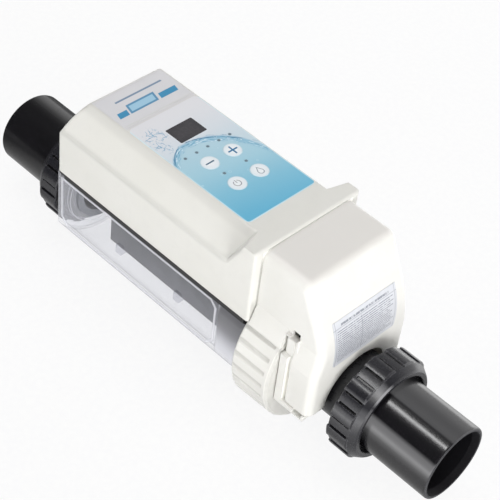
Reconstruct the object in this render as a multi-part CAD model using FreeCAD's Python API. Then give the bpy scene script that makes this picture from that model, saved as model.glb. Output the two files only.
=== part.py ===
import FreeCAD, Part
import math
import os

# In-line salt chlorinator cell with its control box.
# Frame: millimetres. X runs along the flow axis from inlet to outlet, Z points
# up out of the control panel and -Y is the front side. The pieces are drawn
# about the middle of the body, and are moved along X just before they are
# written, so that the finished origin is the centre of the inlet socket.

Vector = FreeCAD.Vector
ORIGIN = Vector(0, 0, 0)
X_AXIS = Vector(1, 0, 0)
Y_AXIS = Vector(0, 1, 0)
SIDES = (-1, 1)              # signs of Y: front, rear

# ---------------------------------------------------------------- shared dimensions
HALF_LENGTH = 226.8          # pipe end to the middle of the body
SOCKET_DEPTH = 38.0
SOCKET_LEAD_IN = 5.0         # tapered mouth of the socket
FLOW_R = 22.0                # clear flow bore

BOSS_FACE = 158.0            # sealing face of both threaded bosses
BOSS_START = 146.4
BOSS_R = 37.4                # plain cylinder standing for the male thread
BOSS_CHAMFER = 0.8
GROOVE_IN_R = 26.0           # union O-ring groove in the boss face
GROOVE_OUT_R = 31.0
GROOVE_DEPTH = 2.5
TAIL_FACE = BOSS_FACE + 0.05
TAIL_FLANGE_T = 5.0

CELL_Z = 10.0                # axis of the clear chamber above the flow axis
CELL_R = 51.0
CELL_TOP = 44.5              # level top under the control base

PLUG_IN = 84.0               # outlet head: plug end, shoulder and outer face
PLUG_SHOULDER = 96.05
PLUG_OUT = 100.0
PLUG_R = 47.8
PLUG_GROOVE = (89.0, 92.0)   # O-ring groove along X
PLUG_GROOVE_R = 45.0
RING_R = 59.5                # ribbed lock ring

STUDS = [(-16.0, 40.0), (16.0, 40.0)]                          # (y, z)
STUD_R = 3.0
STUD_BORE = 3.05
PADS = [(x, y) for x in (-112.0, 28.0) for y in (-28.0, 28.0)]  # cell to base
POSTS = [(-39.0, 76.0), (39.0, 76.0)]                          # cover screws (y, z)
BOARD_POSTS = [(x, y) for x in (-69.0, 34.0) for y in (-25.0, 25.0)]

BASE_BOTTOM = CELL_TOP + 0.25
BASE_RIM_TOP = 46.4
BASE_PAD_TOP = 52.6

COVER_RIGHT = 72.0
COVER_TOP = 111.5
WALL = 3.0
CEILING = COVER_TOP - WALL   # underside of the cover's top
THROUGH_TOP = (100, 120)     # Z span of cutters that pierce the top
BOARD_BOTTOM = 98.5
BOARD_TOP = 100.1
SCREW_SEAT_X = 69.0          # seat of the cover screws
CONNECTOR_X = -95            # supply connector in the rear wall
CONNECTOR_Z = 72

BUTTON_R = 6.85
BUTTONS = {"button_minus": (-14.4, -11.1), "button_plus": (-14.4, 11.1),
           "button_power": (12.9, -10.8), "button_mode": (12.9, 10.8)}
LEDS = [(-28.3, 10.8 * i) for i in range(-2, 3)] + [(-0.3, -10.6), (-0.3, 10.6)]
WINDOW = (-59.5, -42.0, -12.5, 12.5)                           # x0, x1, y0, y1


# ---------------------------------------------------------------- helpers
def box(x0, x1, y0, y1, z0, z1):
    return Part.makeBox(x1 - x0, y1 - y0, z1 - z0, Vector(x0, y0, z0))


def side_box(side, x0, x1, y_near, y_far, z0, z1):
    """Box on one side of the middle; the y values are distances from it."""
    y0, y1 = sorted((side * y_near, side * y_far))
    return box(x0, x1, y0, y1, z0, z1)


def cyl_x(x0, x1, radius, y=0.0, z=0.0):
    return Part.makeCylinder(radius, x1 - x0, Vector(x0, y, z), X_AXIS)


def cyl_y(x, z, y0, y1, radius):
    return Part.makeCylinder(radius, y1 - y0, Vector(x, y0, z), Y_AXIS)


def cyl_z(x, y, z0, z1, radius):
    return Part.makeCylinder(radius, z1 - z0, Vector(x, y, z0))


def tube(x0, x1, outer_r, inner_r):
    return cyl_x(x0, x1, outer_r).cut(cyl_x(x0 - 1, x1 + 1, inner_r))


def torus_x(x, major, minor, z=0.0):
    return Part.makeTorus(major, minor, Vector(x, 0, z), X_AXIS)


def polygon(corners):
    return Part.Face(Part.makePolygon(corners + [corners[0]]))


def revolve(points, z=0.0):
    """Turn an (x, radius) outline round the line y = 0, z = z."""
    face = polygon([Vector(x, 0, z + r) for x, r in points])
    return face.revolve(Vector(0, 0, z), X_AXIS, 360)


def prism_x(points, x0, x1):
    """Extrude a (y, z) outline."""
    return polygon([Vector(x0, y, z) for y, z in points]).extrude(Vector(x1 - x0, 0, 0))


def prism_y(points, y0, y1):
    """Extrude an (x, z) outline."""
    return polygon([Vector(x, y0, z) for x, z in points]).extrude(Vector(0, y1 - y0, 0))


def prism_z(points, z0, z1):
    """Extrude an (x, y) outline."""
    return polygon([Vector(x, y, z0) for x, y in points]).extrude(Vector(0, 0, z1 - z0))


def bowed_prism(corners, bow, y0, y1):
    """Extrude an (x, z) outline with an arc through bow from its third corner to its fourth."""
    points = [Vector(x, y0, z) for x, z in corners]
    edges = []
    for i, start in enumerate(points):
        end = points[(i + 1) % len(points)]
        if i == 2:
            edges.append(Part.Arc(start, Vector(bow[0], y0, bow[1]), end).toShape())
        else:
            edges.append(Part.makeLine(start, end))
    return Part.Face(Part.Wire(edges)).extrude(Vector(0, y1 - y0, 0))


def fuse_each(shape, tools):
    for tool in tools:
        shape = shape.fuse(tool)
    return shape


def cut_each(shape, tools):
    for tool in tools:
        shape = shape.cut(tool)
    return shape


def turned(shape, degrees):
    """Copy of a shape turned about the flow axis."""
    result = shape.copy()
    result.rotate(ORIGIN, X_AXIS, degrees)
    return result


def try_fillet(shape, radius, edges):
    """Filleted shape, or None where the kernel fails or spoils the solid."""
    try:
        result = shape.makeFillet(radius, edges)
        if result.isValid() and len(result.Solids) == len(shape.Solids):
            return result
    except Exception:  # the kernel raises on edges it cannot round
        pass
    return None


def round_edges(shape, radius, wanted):
    """Round every edge the test picks, in one batch or else one by one."""
    edges = [e for e in shape.Edges if wanted(e)]
    if not edges:
        return shape
    batch = try_fillet(shape, radius, edges)
    if batch is not None:
        return batch
    for middle in [e.CenterOfMass for e in edges]:
        near = [e for e in shape.Edges
                if e.CenterOfMass.distanceToPoint(middle) < 1e-3]
        single = try_fillet(shape, radius, near)
        if single is not None:
            shape = single
    return shape


def edge_vector(edge):
    return edge.Vertexes[-1].Point - edge.Vertexes[0].Point


def along_x(edge):
    chord = edge_vector(edge)
    return chord.Length > 1e-6 and abs(chord.x) / chord.Length > 0.999


def along_z(edge):
    chord = edge_vector(edge)
    return chord.Length > 1e-6 and abs(chord.z) / chord.Length > 0.999


def rounded_plate(x0, x1, y0, y1, z0, z1, corner_r):
    return round_edges(box(x0, x1, y0, y1, z0, z1), corner_r, along_z)


def mirror_x(shape):
    return shape.mirror(ORIGIN, X_AXIS)


# ---------------------------------------------------------------- clear cell
CELL_LEFT = -140.0
CELL_RIGHT = 96.0
CELL_WALL = 3.0
CELL_FLAT_Y = 44.0           # flat viewing sides of the chamber
CELL_FLAT_END = 38.0
CELL_TOP_END = 44.5          # outlet end of the level top

# (x, z) outlines of the bead round each viewing flat
BEAD_OUTER = [(-134.6, -6), (-126.6, -13.6), (30, -13.6), (36.6, -6),
              (36.6, 28), (31, 33.8), (-134.6, 33.8)]
BEAD_INNER = [(-132.8, -5.2), (-125.8, -11.8), (29.2, -11.8), (34.8, -5.3),
              (34.8, 27.3), (30.3, 32), (-132.8, 32)]


def viewing_cut(flat_y, end_x, side):
    """Side cutter with a 45 degree ramp where the flat meets the round neck."""
    ramp = 20
    far_y = side * (flat_y + ramp)
    return prism_z([(CELL_LEFT - 2, side * flat_y), (end_x, side * flat_y),
                    (end_x + ramp, far_y), (CELL_LEFT - 2, far_y)], -70, 90)


def cell_envelope(x0, x1, inset, flat_end):
    """Round body with flat sides and a level top, moved inward by inset."""
    body = cyl_x(x0, x1, CELL_R - inset, 0, CELL_Z)
    body = cut_each(body, [viewing_cut(CELL_FLAT_Y - inset, flat_end, s) for s in SIDES])
    return body.cut(box(CELL_LEFT - 1, CELL_TOP_END + inset, -60, 60, CELL_TOP - inset, 80))


def cell_housing():
    cell = cell_envelope(CELL_LEFT, CELL_RIGHT, 0, CELL_FLAT_END)
    inner = cell_envelope(CELL_LEFT + 3.5, CELL_RIGHT + 1, CELL_WALL, CELL_FLAT_END - 1.2)
    cell = round_edges(cell, 1.6, lambda e: e.BoundBox.XMax < CELL_LEFT + 0.01)
    cell = cell.cut(inner).cut(cyl_x(CELL_LEFT - 1, CELL_LEFT + 5, 28.05))
    for side in SIDES:
        y0, y1 = sorted((side * (CELL_FLAT_Y - 0.4), side * (CELL_FLAT_Y + 0.8)))
        bead = prism_y(BEAD_OUTER, y0, y1).cut(prism_y(BEAD_INNER, y0 - 1, y1 + 1))
        cell = cell.fuse(bead)
    # bosses that carry the control base
    cell = fuse_each(cell, [cyl_z(x, y, 42.5, 50.0, 4.8) for x, y in PADS])
    cell = cut_each(cell, [cyl_z(x, y, 44.6, 51, 1.5) for x, y in PADS])
    return cell.removeSplitter()


# ---------------------------------------------------------------- end fittings
def inlet_end_fitting():
    rim_r = BOSS_R - BOSS_CHAMFER
    groove_x = -BOSS_FACE + GROOVE_DEPTH
    return revolve([(-134.0, FLOW_R), (-134.0, 28.0), (-140.02, 28.0), (-140.02, 34.0),
                    (-BOSS_START, 34.0), (-BOSS_START, rim_r),
                    (-BOSS_START - BOSS_CHAMFER, BOSS_R),
                    (-BOSS_FACE + BOSS_CHAMFER, BOSS_R),
                    (-BOSS_FACE, rim_r), (-BOSS_FACE, GROOVE_OUT_R),
                    (groove_x, GROOVE_OUT_R), (groove_x, GROOVE_IN_R),
                    (-BOSS_FACE, GROOVE_IN_R), (-BOSS_FACE, FLOW_R)])


def outlet_head():
    groove_in, groove_out = PLUG_GROOVE
    rim_r = BOSS_R - BOSS_CHAMFER
    head = revolve([(PLUG_IN, 0.0), (PLUG_IN, PLUG_R), (groove_in, PLUG_R),
                    (groove_in, PLUG_GROOVE_R), (groove_out, PLUG_GROOVE_R),
                    (groove_out, PLUG_R), (PLUG_SHOULDER, PLUG_R),
                    (PLUG_SHOULDER, 50.5), (PLUG_OUT, 50.5), (PLUG_OUT, 0.0)], CELL_Z)
    head = head.fuse(cyl_x(PLUG_OUT - 1, BOSS_START + 1, 28.0))
    head = head.fuse(revolve([(BOSS_START, 0), (BOSS_START, rim_r),
                              (BOSS_START + BOSS_CHAMFER, BOSS_R),
                              (BOSS_FACE - BOSS_CHAMFER, BOSS_R),
                              (BOSS_FACE, rim_r), (BOSS_FACE, 0)]))
    head = head.cut(cyl_x(PLUG_IN - 1, BOSS_FACE + 1, FLOW_R))
    head = head.cut(tube(BOSS_FACE - GROOVE_DEPTH, BOSS_FACE + 1, GROOVE_OUT_R, GROOVE_IN_R))
    head = fuse_each(head, [cyl_x(PLUG_OUT - 0.5, PLUG_OUT + 3.0, 6.5, y, z) for y, z in STUDS])
    head = cut_each(head, [cyl_x(PLUG_IN - 1, PLUG_OUT + 5, STUD_BORE, y, z) for y, z in STUDS])
    return head.removeSplitter()


def head_o_ring():
    return torus_x(sum(PLUG_GROOVE) / 2, (PLUG_GROOVE_R + PLUG_R) / 2, 1.39, CELL_Z)


def union_o_rings():
    x = BOSS_FACE - GROOVE_DEPTH / 2
    major = (GROOVE_IN_R + GROOVE_OUT_R) / 2
    return Part.makeCompound([torus_x(x, major, 1.2), torus_x(-x, major, 1.2)])


# ---------------------------------------------------------------- tail pipes
PIPE_R = 30.15               # outside of a 2-inch tail pipe (60.3 mm)
SOCKET_R = 25.15             # socket for a 50 mm pipe
MOUTH_R = 27.0               # lead-in at the pipe mouth
TAIL_FLANGE_R = 35.6


def tail_pipe():
    """Tail pipe of the outlet end."""
    flange_end = TAIL_FACE + TAIL_FLANGE_T
    socket_end = HALF_LENGTH - SOCKET_DEPTH
    return revolve([(TAIL_FACE, FLOW_R), (TAIL_FACE, TAIL_FLANGE_R),
                    (flange_end, TAIL_FLANGE_R), (flange_end, PIPE_R),
                    (HALF_LENGTH - 1.4, PIPE_R), (HALF_LENGTH - 0.4, PIPE_R - 0.4),
                    (HALF_LENGTH, PIPE_R - 1.3), (HALF_LENGTH, MOUTH_R + 0.3),
                    (HALF_LENGTH - 0.4, MOUTH_R), (HALF_LENGTH - SOCKET_LEAD_IN, SOCKET_R),
                    (socket_end, SOCKET_R), (socket_end, FLOW_R)])


# ---------------------------------------------------------------- union nuts
NUT_BACK = 146.6
NUT_FRONT = 170.8
NUT_R = 42.0
NUT_BARREL_R = 40.3
NUT_BARREL_END = 165.2
NUT_BORE = BOSS_R + 0.08
NUT_LIP_BORE = 33.0
NUT_PADS = 12
PAD_WIDTH = 0.52             # share of the pad pitch
CROWN_R = 15.0


def union_nut():
    """Nut of the outlet end, with crowned grip pads."""
    lip_in = TAIL_FACE + TAIL_FLANGE_T + 0.06
    nut = revolve([(NUT_BACK, NUT_BORE), (NUT_BACK, NUT_BARREL_R - 0.6),
                   (NUT_BACK + 0.6, NUT_BARREL_R), (NUT_BARREL_END, NUT_BARREL_R),
                   (169.6, 37.6), (NUT_FRONT, 36.4), (NUT_FRONT, NUT_LIP_BORE + 0.6),
                   (NUT_FRONT - 0.6, NUT_LIP_BORE), (lip_in, NUT_LIP_BORE),
                   (lip_in, NUT_BORE)])
    pitch = 360.0 / NUT_PADS
    pad_outline = [(NUT_BACK, NUT_BARREL_R - 1), (NUT_BACK, NUT_R - 0.6),
                   (NUT_BACK + 0.8, NUT_R), (164.0, NUT_R),
                   (NUT_BARREL_END, NUT_BARREL_R + 0.2), (NUT_BARREL_END, NUT_BARREL_R - 1)]
    pad_face = polygon([Vector(x, 0, r) for x, r in pad_outline])
    # the pads are crowned: each is trimmed by a smaller cylinder along its middle
    half_pad = math.radians(pitch * PAD_WIDTH / 2)
    reach = NUT_R - CROWN_R
    crown = cyl_x(NUT_BACK - 1, 170.0, CROWN_R,
                  -reach * math.sin(half_pad), reach * math.cos(half_pad))
    pad = pad_face.revolve(ORIGIN, X_AXIS, pitch * PAD_WIDTH).common(crown)
    nut = fuse_each(nut, [turned(pad, i * pitch) for i in range(NUT_PADS)])
    # a narrow flute runs down both flanks of each pad
    flute = box(NUT_BACK + 1.6, 163.6, -0.9, 0.9, NUT_BARREL_R - 1.0, NUT_R + 2)
    nut = cut_each(nut, [turned(flute, (i + flank) * pitch)
                         for i in range(NUT_PADS) for flank in (-0.035, 0.555)])
    return nut.removeSplitter()


# ---------------------------------------------------------------- lock ring
RING_LEFT = 69.0
RING_RIGHT = 103.0
RING_BORE = 51.08
RING_LIP_BORE = 47.7
RING_FLUTES = 32


def lock_ring():
    lip_in = PLUG_OUT + 0.06
    ring = revolve([(RING_LEFT, RING_BORE), (RING_LEFT, RING_R - 1.4),
                    (RING_LEFT + 1.4, RING_R), (101.0, RING_R - 0.6),
                    (RING_RIGHT, RING_R - 2.4), (RING_RIGHT, RING_LIP_BORE),
                    (lip_in, RING_LIP_BORE), (lip_in, RING_BORE)], CELL_Z)
    flute_at = RING_R + 1.2
    for i in range(RING_FLUTES):
        angle = 2 * math.pi * i / RING_FLUTES
        ring = ring.cut(cyl_x(RING_LEFT - 1, 98.5, 2.6, flute_at * math.cos(angle),
                              CELL_Z + flute_at * math.sin(angle)))
    return ring.removeSplitter()


# ---------------------------------------------------------------- electrodes
PLATE_PITCH = 5.5
PLATE_T = 1.0
PLATE_LEFT = -101.0
PLATE_RIGHT = 45.0
PLATE_LOW = -20.0
PLATE_HIGH = 36.0
PLATE_YS = [PLATE_PITCH * i for i in range(-4, 5)]
ANODE_BUS_X = (58.0, 61.0)
CATHODE_BUS_X = (64.0, 67.0)


def plates(first, tab_end, tab_low, tab_high):
    """Every second plate, each with a tab that reaches its bus bar."""
    solids = []
    for y in PLATE_YS[first::2]:
        y0, y1 = y - PLATE_T / 2, y + PLATE_T / 2
        plate = box(PLATE_LEFT, PLATE_RIGHT, y0, y1, PLATE_LOW, PLATE_HIGH)
        tab = box(PLATE_RIGHT, tab_end, y0, y1, tab_low, tab_high)
        solids.append(plate.fuse(tab).removeSplitter())
    return Part.makeCompound(solids)


def bus_bar(bus_x, bar_yz, lug_low, stud):
    """Bar across the plate tabs, with an upright lug bored for its stud."""
    y, z = stud
    lug = box(*bus_x, y - 5, y + 5, lug_low, z + 5)
    bar = box(*bus_x, *bar_yz).fuse(lug)
    return bar.removeSplitter().cut(cyl_x(50, 70, 2.0, y, z))


def bus_bars():
    return Part.makeCompound([
        bus_bar(ANODE_BUS_X, (-23.5, 23.5, 30.0, 39.0), 36.0, STUDS[0]),
        bus_bar(CATHODE_BUS_X, (-18.0, 21.0, 13.0, 23.0), 20.0, STUDS[1])])


def terminal_studs():
    solids = []
    for (y, z), start in zip(STUDS, (ANODE_BUS_X[1], CATHODE_BUS_X[1])):
        spigot = cyl_x(start - 3.0, start + 1, 1.95, y, z)
        solids.append(cyl_x(start, 122.0, STUD_R, y, z).fuse(spigot).removeSplitter())
    return Part.makeCompound(solids)


def plate_combs():
    """Slotted bars across the lower and upper plate edges."""
    rows = ((PLATE_LOW, PLATE_LOW - 0.05, PLATE_LOW + 5),      # edge z, slot z0, slot z1
            (PLATE_HIGH, PLATE_HIGH - 5, PLATE_HIGH + 0.05))
    combs = []
    for x in (-88.0, -22.0, 32.0):
        for edge_z, slot_low, slot_high in rows:
            combs.append(cut_each(
                box(x - 3, x + 3, -26, 26, edge_z - 4, edge_z + 4),
                [box(x - 4, x + 4, y - 0.55, y + 0.55, slot_low, slot_high)
                 for y in PLATE_YS]))
    return Part.makeCompound(combs)


def hex_nut(x0, x1, y, z, half_flats, bore):
    corner_r = half_flats / math.cos(math.radians(30))
    corners = [(y + corner_r * math.cos(math.radians(60 * i)),
                z + corner_r * math.sin(math.radians(60 * i))) for i in range(6)]
    return prism_x(corners, x0, x1).cut(cyl_x(x0 - 1, x1 + 1, bore, y, z))


def terminal_nuts():
    return Part.makeCompound([hex_nut(x0, x1, y, z, 5.0, STUD_BORE) for y, z in STUDS
                              for x0, x1 in ((103.05, 107.5), (109.1, 113.5))])


# ---------------------------------------------------------------- control base
BASE_LEFT = -127.6
BASE_RIGHT = 65.6
BASE_HALF = 47.6


def control_base():
    # the plates are rounded oversize, then trimmed square at the outlet end
    keep = box(-140, BASE_RIGHT, -60, 60, 40, 60)
    plate = rounded_plate(BASE_LEFT, BASE_RIGHT + 9, -BASE_HALF, BASE_HALF,
                          BASE_BOTTOM, 47.6, 1.5)
    rim = rounded_plate(-130.6, BASE_RIGHT + 12, -50.6, 50.6, BASE_BOTTOM, BASE_RIM_TOP, 2.2)
    base = plate.common(keep).fuse(rim.common(keep))
    base = fuse_each(base, [side_box(s, BASE_LEFT, BASE_RIGHT, 44.9, BASE_HALF, 38.5, 46.0)
                            for s in SIDES])
    # arch over the round neck of the cell
    neck = cyl_x(44.2, 70, CELL_R + 0.35, 0, CELL_Z)
    base = base.cut(neck)
    arch = cyl_x(41.5, BASE_RIGHT, CELL_R + 3.2, 0, CELL_Z).cut(neck)
    base = base.fuse(arch.common(box(40, BASE_RIGHT, -60, 60, BASE_BOTTOM, 80)))
    base = fuse_each(base, [cyl_z(x, y, 45.0, BASE_PAD_TOP, 8.0) for x, y in PADS])
    for x, y in PADS:
        base = base.cut(cyl_z(x, y, 44, 50.05, 5.1)).cut(cyl_z(x, y, 44, 60, 1.6))
    base = fuse_each(base, [box(53.0, BASE_RIGHT, y - 5, y + 5, 49.8, 82.0) for y, z in POSTS])
    base = cut_each(base, [cyl_x(55.0, 70.0, 1.6, y, z) for y, z in POSTS])
    return base.removeSplitter()


RECESS_HALF = 1.9            # cross recess: half length and half width of an arm
RECESS_ARM = 0.35


def screw_z(x, y, seat, length, shank_r=1.45, head_r=3.0, head_h=2.0, up=False):
    """Screw with a cross recess; the shank runs down from the seat, or up."""
    out = -1 if up else 1
    head = cyl_z(x, y, *sorted((seat, seat + out * head_h)), head_r)
    shank = cyl_z(x, y, *sorted((seat, seat - out * length)), shank_r)
    z0, z1 = sorted((seat + out * head_h * 0.45, seat + out * (head_h + 1)))
    return cut_each(head.fuse(shank).removeSplitter(), [
        box(x - dx, x + dx, y - dy, y + dy, z0, z1)
        for dx, dy in ((RECESS_HALF, RECESS_ARM), (RECESS_ARM, RECESS_HALF))])


def base_screws():
    return Part.makeCompound([screw_z(x, y, BASE_PAD_TOP, 7.6) for x, y in PADS])


# ---------------------------------------------------------------- main cover
COVER_LEFT = -131.0
COVER_HALF = 51.0
SPLIT_Z = 47.5
CREASE_R = 5.0               # shallow cove that runs along the cover's crease
CREASE_DEPTH = 0.7


def cover_side(off):
    """Side outline of the cover: an upright end, a leaning bowed part and the level top."""
    left, half, top = COVER_LEFT + off, COVER_HALF - off, COVER_TOP - off
    low = SPLIT_Z - (5 if off else 0)
    corners = [(COVER_RIGHT, low), (left, low), (left, 76.0),
               (-116.4 + off * 0.92, top), (COVER_RIGHT, top)]
    return bowed_prism(corners, (-126.2 + off * 0.95, 95.0 - off * 0.42), -half, half)


def bevel_tool(off, side):
    """Cutter for one long bevel."""
    shift = off * 0.9
    return prism_x([(side * 54.4, 82.0 - shift), (side * (33.0 - shift), 113.3),
                    (side * 33.0, 125.0), (side * 62.0, 125.0), (side * 62.0, 82.0)], -150, 75)


def soft_cover_edge(edge):
    """Top edge at the inlet end, long top edges and the mitres that run down from them."""
    middle, bounds = edge.CenterOfMass, edge.BoundBox
    at_top = bounds.ZMin > COVER_TOP - 0.01
    top_inlet = at_top and bounds.XMax < -110 and bounds.YLength > 40
    top_side = at_top and along_x(edge) and 33 < abs(middle.y) < 36 and bounds.XLength > 100
    mitre = (bounds.XMax < -112 and bounds.ZMin > 80 and bounds.ZLength > 15
             and 34 < abs(middle.y) < 50)
    return top_inlet or top_side or mitre


def cover_body(off):
    """Solid envelope of the cover, moved inward by off."""
    body = round_edges(cover_side(off), max(0.5, 2.6 - off),
                       lambda e: along_z(e) and e.CenterOfMass.x < COVER_LEFT + off + 0.1)
    # long side bevels, stopped short of the outlet rim by a slanting plane
    for side in SIDES:
        normal = Vector(-0.825, side * 0.237, 0.514)
        start = Vector(46.0, side * 50.5, 88.0) - normal * off
        half_space = Part.makeBox(200, 200, 200, Vector(-100, -100, 0))
        half_space.Placement = FreeCAD.Placement(
            start, FreeCAD.Rotation(Vector(0, 0, 1), normal))
        body = body.cut(bevel_tool(off, side).common(half_space))
    if off == 0:
        body = round_edges(body, 3.2, soft_cover_edge)
    return body


def crease_cove():
    """Round cutters along the edge between the sides and the bevels, then up to the rim."""
    tools = []
    reach = CREASE_R - CREASE_DEPTH
    climb = Vector(0.514, 0, 0.825)
    climb.normalize()
    for side in SIDES:
        out = Vector(0, side * 0.955, 0.296) * reach
        start = Vector(-145.0, side * COVER_HALF, 86.97)
        corner = Vector(45.2, side * COVER_HALF, 86.97)
        rim_out = Vector(-0.42, side * 0.86, 0.28)
        rim_out.normalize()
        rim_out = rim_out * reach
        tools.append(Part.makeCylinder(CREASE_R, corner.x - start.x, start + out, X_AXIS))
        tools.append(Part.makeSphere(CREASE_R, corner + out))
        path = (corner + climb * 24.0 + rim_out) - (corner + out)
        tools.append(Part.makeCylinder(CREASE_R, path.Length, corner + out, path))
    return tools


def window_plate(grow, z0, z1, corner_r):
    """Rounded plate in the shape of the display window, grown on all sides."""
    x0, x1, y0, y1 = WINDOW
    return rounded_plate(x0 - grow, x1 + grow, y0 - grow, y1 + grow, z0, z1, corner_r)


def cut_panel_openings(shape, grow, corner_r):
    """Cut the display window and the button and indicator holes."""
    shape = shape.cut(window_plate(grow, *THROUGH_TOP, corner_r))
    shape = cut_each(shape, [cyl_z(x, y, *THROUGH_TOP, BUTTON_R + 0.07)
                             for x, y in BUTTONS.values()])
    return cut_each(shape, [cyl_z(x, y, *THROUGH_TOP, 1.2) for x, y in LEDS])


def main_cover():
    outer = cut_each(cover_body(0.0), crease_cove())
    outer = round_edges(outer, 2.6, lambda e: e.BoundBox.XMin > COVER_RIGHT - 0.01
                        and e.CenterOfMass.z > SPLIT_Z + 1)
    cover = outer.cut(cover_body(WALL).common(box(-200, 66.0, -60, 60, 30, 120)))
    # clearance for the cell neck and the lock ring
    cover = cover.cut(cyl_x(60, 68.4, CELL_R + 0.4, 0, CELL_Z))
    cover = cover.cut(cyl_x(68.4, 80, RING_R + 0.7, 0, CELL_Z))
    cover = cut_panel_openings(cover, 0.1, 1.2)
    cover = fuse_each(cover, [cyl_z(x, y, BOARD_TOP, 109.5, 3.2) for x, y in BOARD_POSTS])
    cover = cut_each(cover, [cyl_z(x, y, 99, 107.0, 1.3) for x, y in BOARD_POSTS])
    for y, z in POSTS:
        cover = cover.cut(cyl_x(60, 80, 1.7, y, z)).cut(cyl_x(SCREW_SEAT_X, 80, 3.6, y, z))
    # opening in the outlet wall that the cell leads pass through
    cover = cover.cut(round_edges(box(60, 80, -12, 12, 80, 90), 3.0, along_x))
    # round opening in the rear wall for the supply connector
    cover = cover.cut(cyl_y(CONNECTOR_X, CONNECTOR_Z, 40, 60, 8.05))
    return cover.removeSplitter()


def cover_gasket():
    seal = rounded_plate(-130.4, 80, -50.4, 50.4, BASE_RIM_TOP, SPLIT_Z - 0.05, 2.0)
    seal = seal.common(box(-140, 65.9, -60, 60, 40, 60))
    return seal.cut(rounded_plate(-127.9, 90, -48.0, 48.0, 40, 50, 1.0))


def cover_screws():
    seat = SCREW_SEAT_X
    screws = []
    for y, z in POSTS:
        head = cyl_x(seat, seat + 2.2, 3.0, y, z)
        screw = head.fuse(cyl_x(seat - 13.0, seat, 1.45, y, z)).removeSplitter()
        screws.append(cut_each(screw, [
            box(seat + 1, seat + 5, y - dy, y + dy, z - dz, z + dz)
            for dy, dz in ((RECESS_HALF, RECESS_ARM), (RECESS_ARM, RECESS_HALF))]))
    return Part.makeCompound(screws)


# ---------------------------------------------------------------- panel
def panel_overlay():
    panel = rounded_plate(-76.0, 46.4, -33.2, 33.2, COVER_TOP, COVER_TOP + 0.3, 4.0)
    return cut_panel_openings(panel, 0, 1.0)


def title_label():
    return rounded_plate(-113.4, -79.2, -32.2, 32.2, COVER_TOP, COVER_TOP + 0.15, 3.0)


def display_window():
    pane = window_plate(-0.05, CEILING - 1.2, COVER_TOP + 0.25, 1.0)
    ledge = window_plate(3, CEILING - 1.3, CEILING - 0.02, 1.5)
    return pane.fuse(ledge).removeSplitter()


def display_module():
    return box(-61.5, -40.0, -14.0, 14.0, BOARD_TOP, CEILING - 1.4)


# sunk marks on the button tops, as lists of cutters
MARK_LOW = COVER_TOP + 0.40
MARK_HIGH = COVER_TOP + 2


def minus_mark(x, y):
    return [box(x - 0.66, x + 0.66, y - 3.9, y + 3.9, MARK_LOW, MARK_HIGH)]


def plus_mark(x, y):
    return [box(x - dx, x + dx, y - dy, y + dy, MARK_LOW, MARK_HIGH)
            for dx, dy in ((4.4, 0.72), (0.72, 4.4))]


def power_mark(x, y):
    """Open ring and a bar through its gap."""
    low, high = MARK_LOW - 1, MARK_HIGH + 1
    ring = cyl_z(x, y, MARK_LOW, MARK_HIGH, 3.2).cut(cyl_z(x, y, low, high, 2.4))
    ring = ring.cut(box(x - 5, x - 1.2, y - 1.2, y + 1.2, low, high))
    return [ring, box(x - 3.6, x - 0.2, y - 0.4, y + 0.4, MARK_LOW, MARK_HIGH)]


def drop_mark(x, y):
    """Outline of a drop that points along -X."""
    low, high = MARK_LOW - 1, MARK_HIGH + 1
    drop = cyl_z(x + 1.3, y, MARK_LOW, MARK_HIGH, 2.7).fuse(prism_z(
        [(x - 4.2, y), (x + 0.4, y - 2.55), (x + 0.4, y + 2.55)], MARK_LOW, MARK_HIGH))
    gap = cyl_z(x + 1.3, y, low, high, 1.95).fuse(prism_z(
        [(x - 2.7, y), (x + 0.6, y - 1.8), (x + 0.6, y + 1.8)], low, high))
    return [drop.cut(gap)]


MARKS = {"button_minus": minus_mark, "button_plus": plus_mark,
         "button_power": power_mark, "button_mode": drop_mark}


def button(name):
    """Cap with a retaining flange and a stem below, and its mark on top."""
    x, y = BUTTONS[name]
    flange_low = 106.4
    cap = cyl_z(x, y, flange_low, COVER_TOP + 0.55, BUTTON_R)
    cap = round_edges(cap, 0.35, lambda e: e.CenterOfMass.z > COVER_TOP + 0.5)
    cap = cap.fuse(cyl_z(x, y, flange_low, CEILING - 0.06, BUTTON_R + 1.3))
    cap = cap.fuse(cyl_z(x, y, 104.3, flange_low + 0.1, 2.0)).removeSplitter()
    return cut_each(cap, MARKS[name](x, y))


def indicator_leds():
    return Part.makeCompound([cyl_z(x, y, BOARD_TOP + 0.02, COVER_TOP + 0.28, 1.1)
                              for x, y in LEDS])


def circuit_board():
    board = rounded_plate(-74.0, 39.0, -30.0, 30.0, BOARD_BOTTOM, BOARD_TOP, 2.0)
    return cut_each(board, [cyl_z(x, y, 90, 110, 1.6) for x, y in BOARD_POSTS])


def tact_switches():
    return Part.makeCompound([
        box(x - 3, x + 3, y - 3, y + 3, BOARD_TOP + 0.02, 102.6).fuse(
            cyl_z(x, y, 102.6, 103.6, 1.5)).removeSplitter() for x, y in BUTTONS.values()])


def board_screws():
    return Part.makeCompound([
        screw_z(x, y, BOARD_BOTTOM, 8.0, shank_r=1.25, head_r=2.6, head_h=1.8, up=True)
        for x, y in BOARD_POSTS])


# ---------------------------------------------------------------- power parts
SUPPLY_RIGHT = 12.0
LUG_X = (107.6, 109.0)       # lead lugs between the terminal nuts
LEAD_R = 2.0


def power_supply():
    supply = rounded_plate(-88.0, SUPPLY_RIGHT, -34.0, 34.0, 47.65, 78.0, 3.0)
    # slots across the top
    return cut_each(supply, [box(x - 1.6, x + 1.6, -35, 35, 73.0, 90.0)
                             for x in [-80 + i * 10.0 for i in range(9)]])


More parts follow.
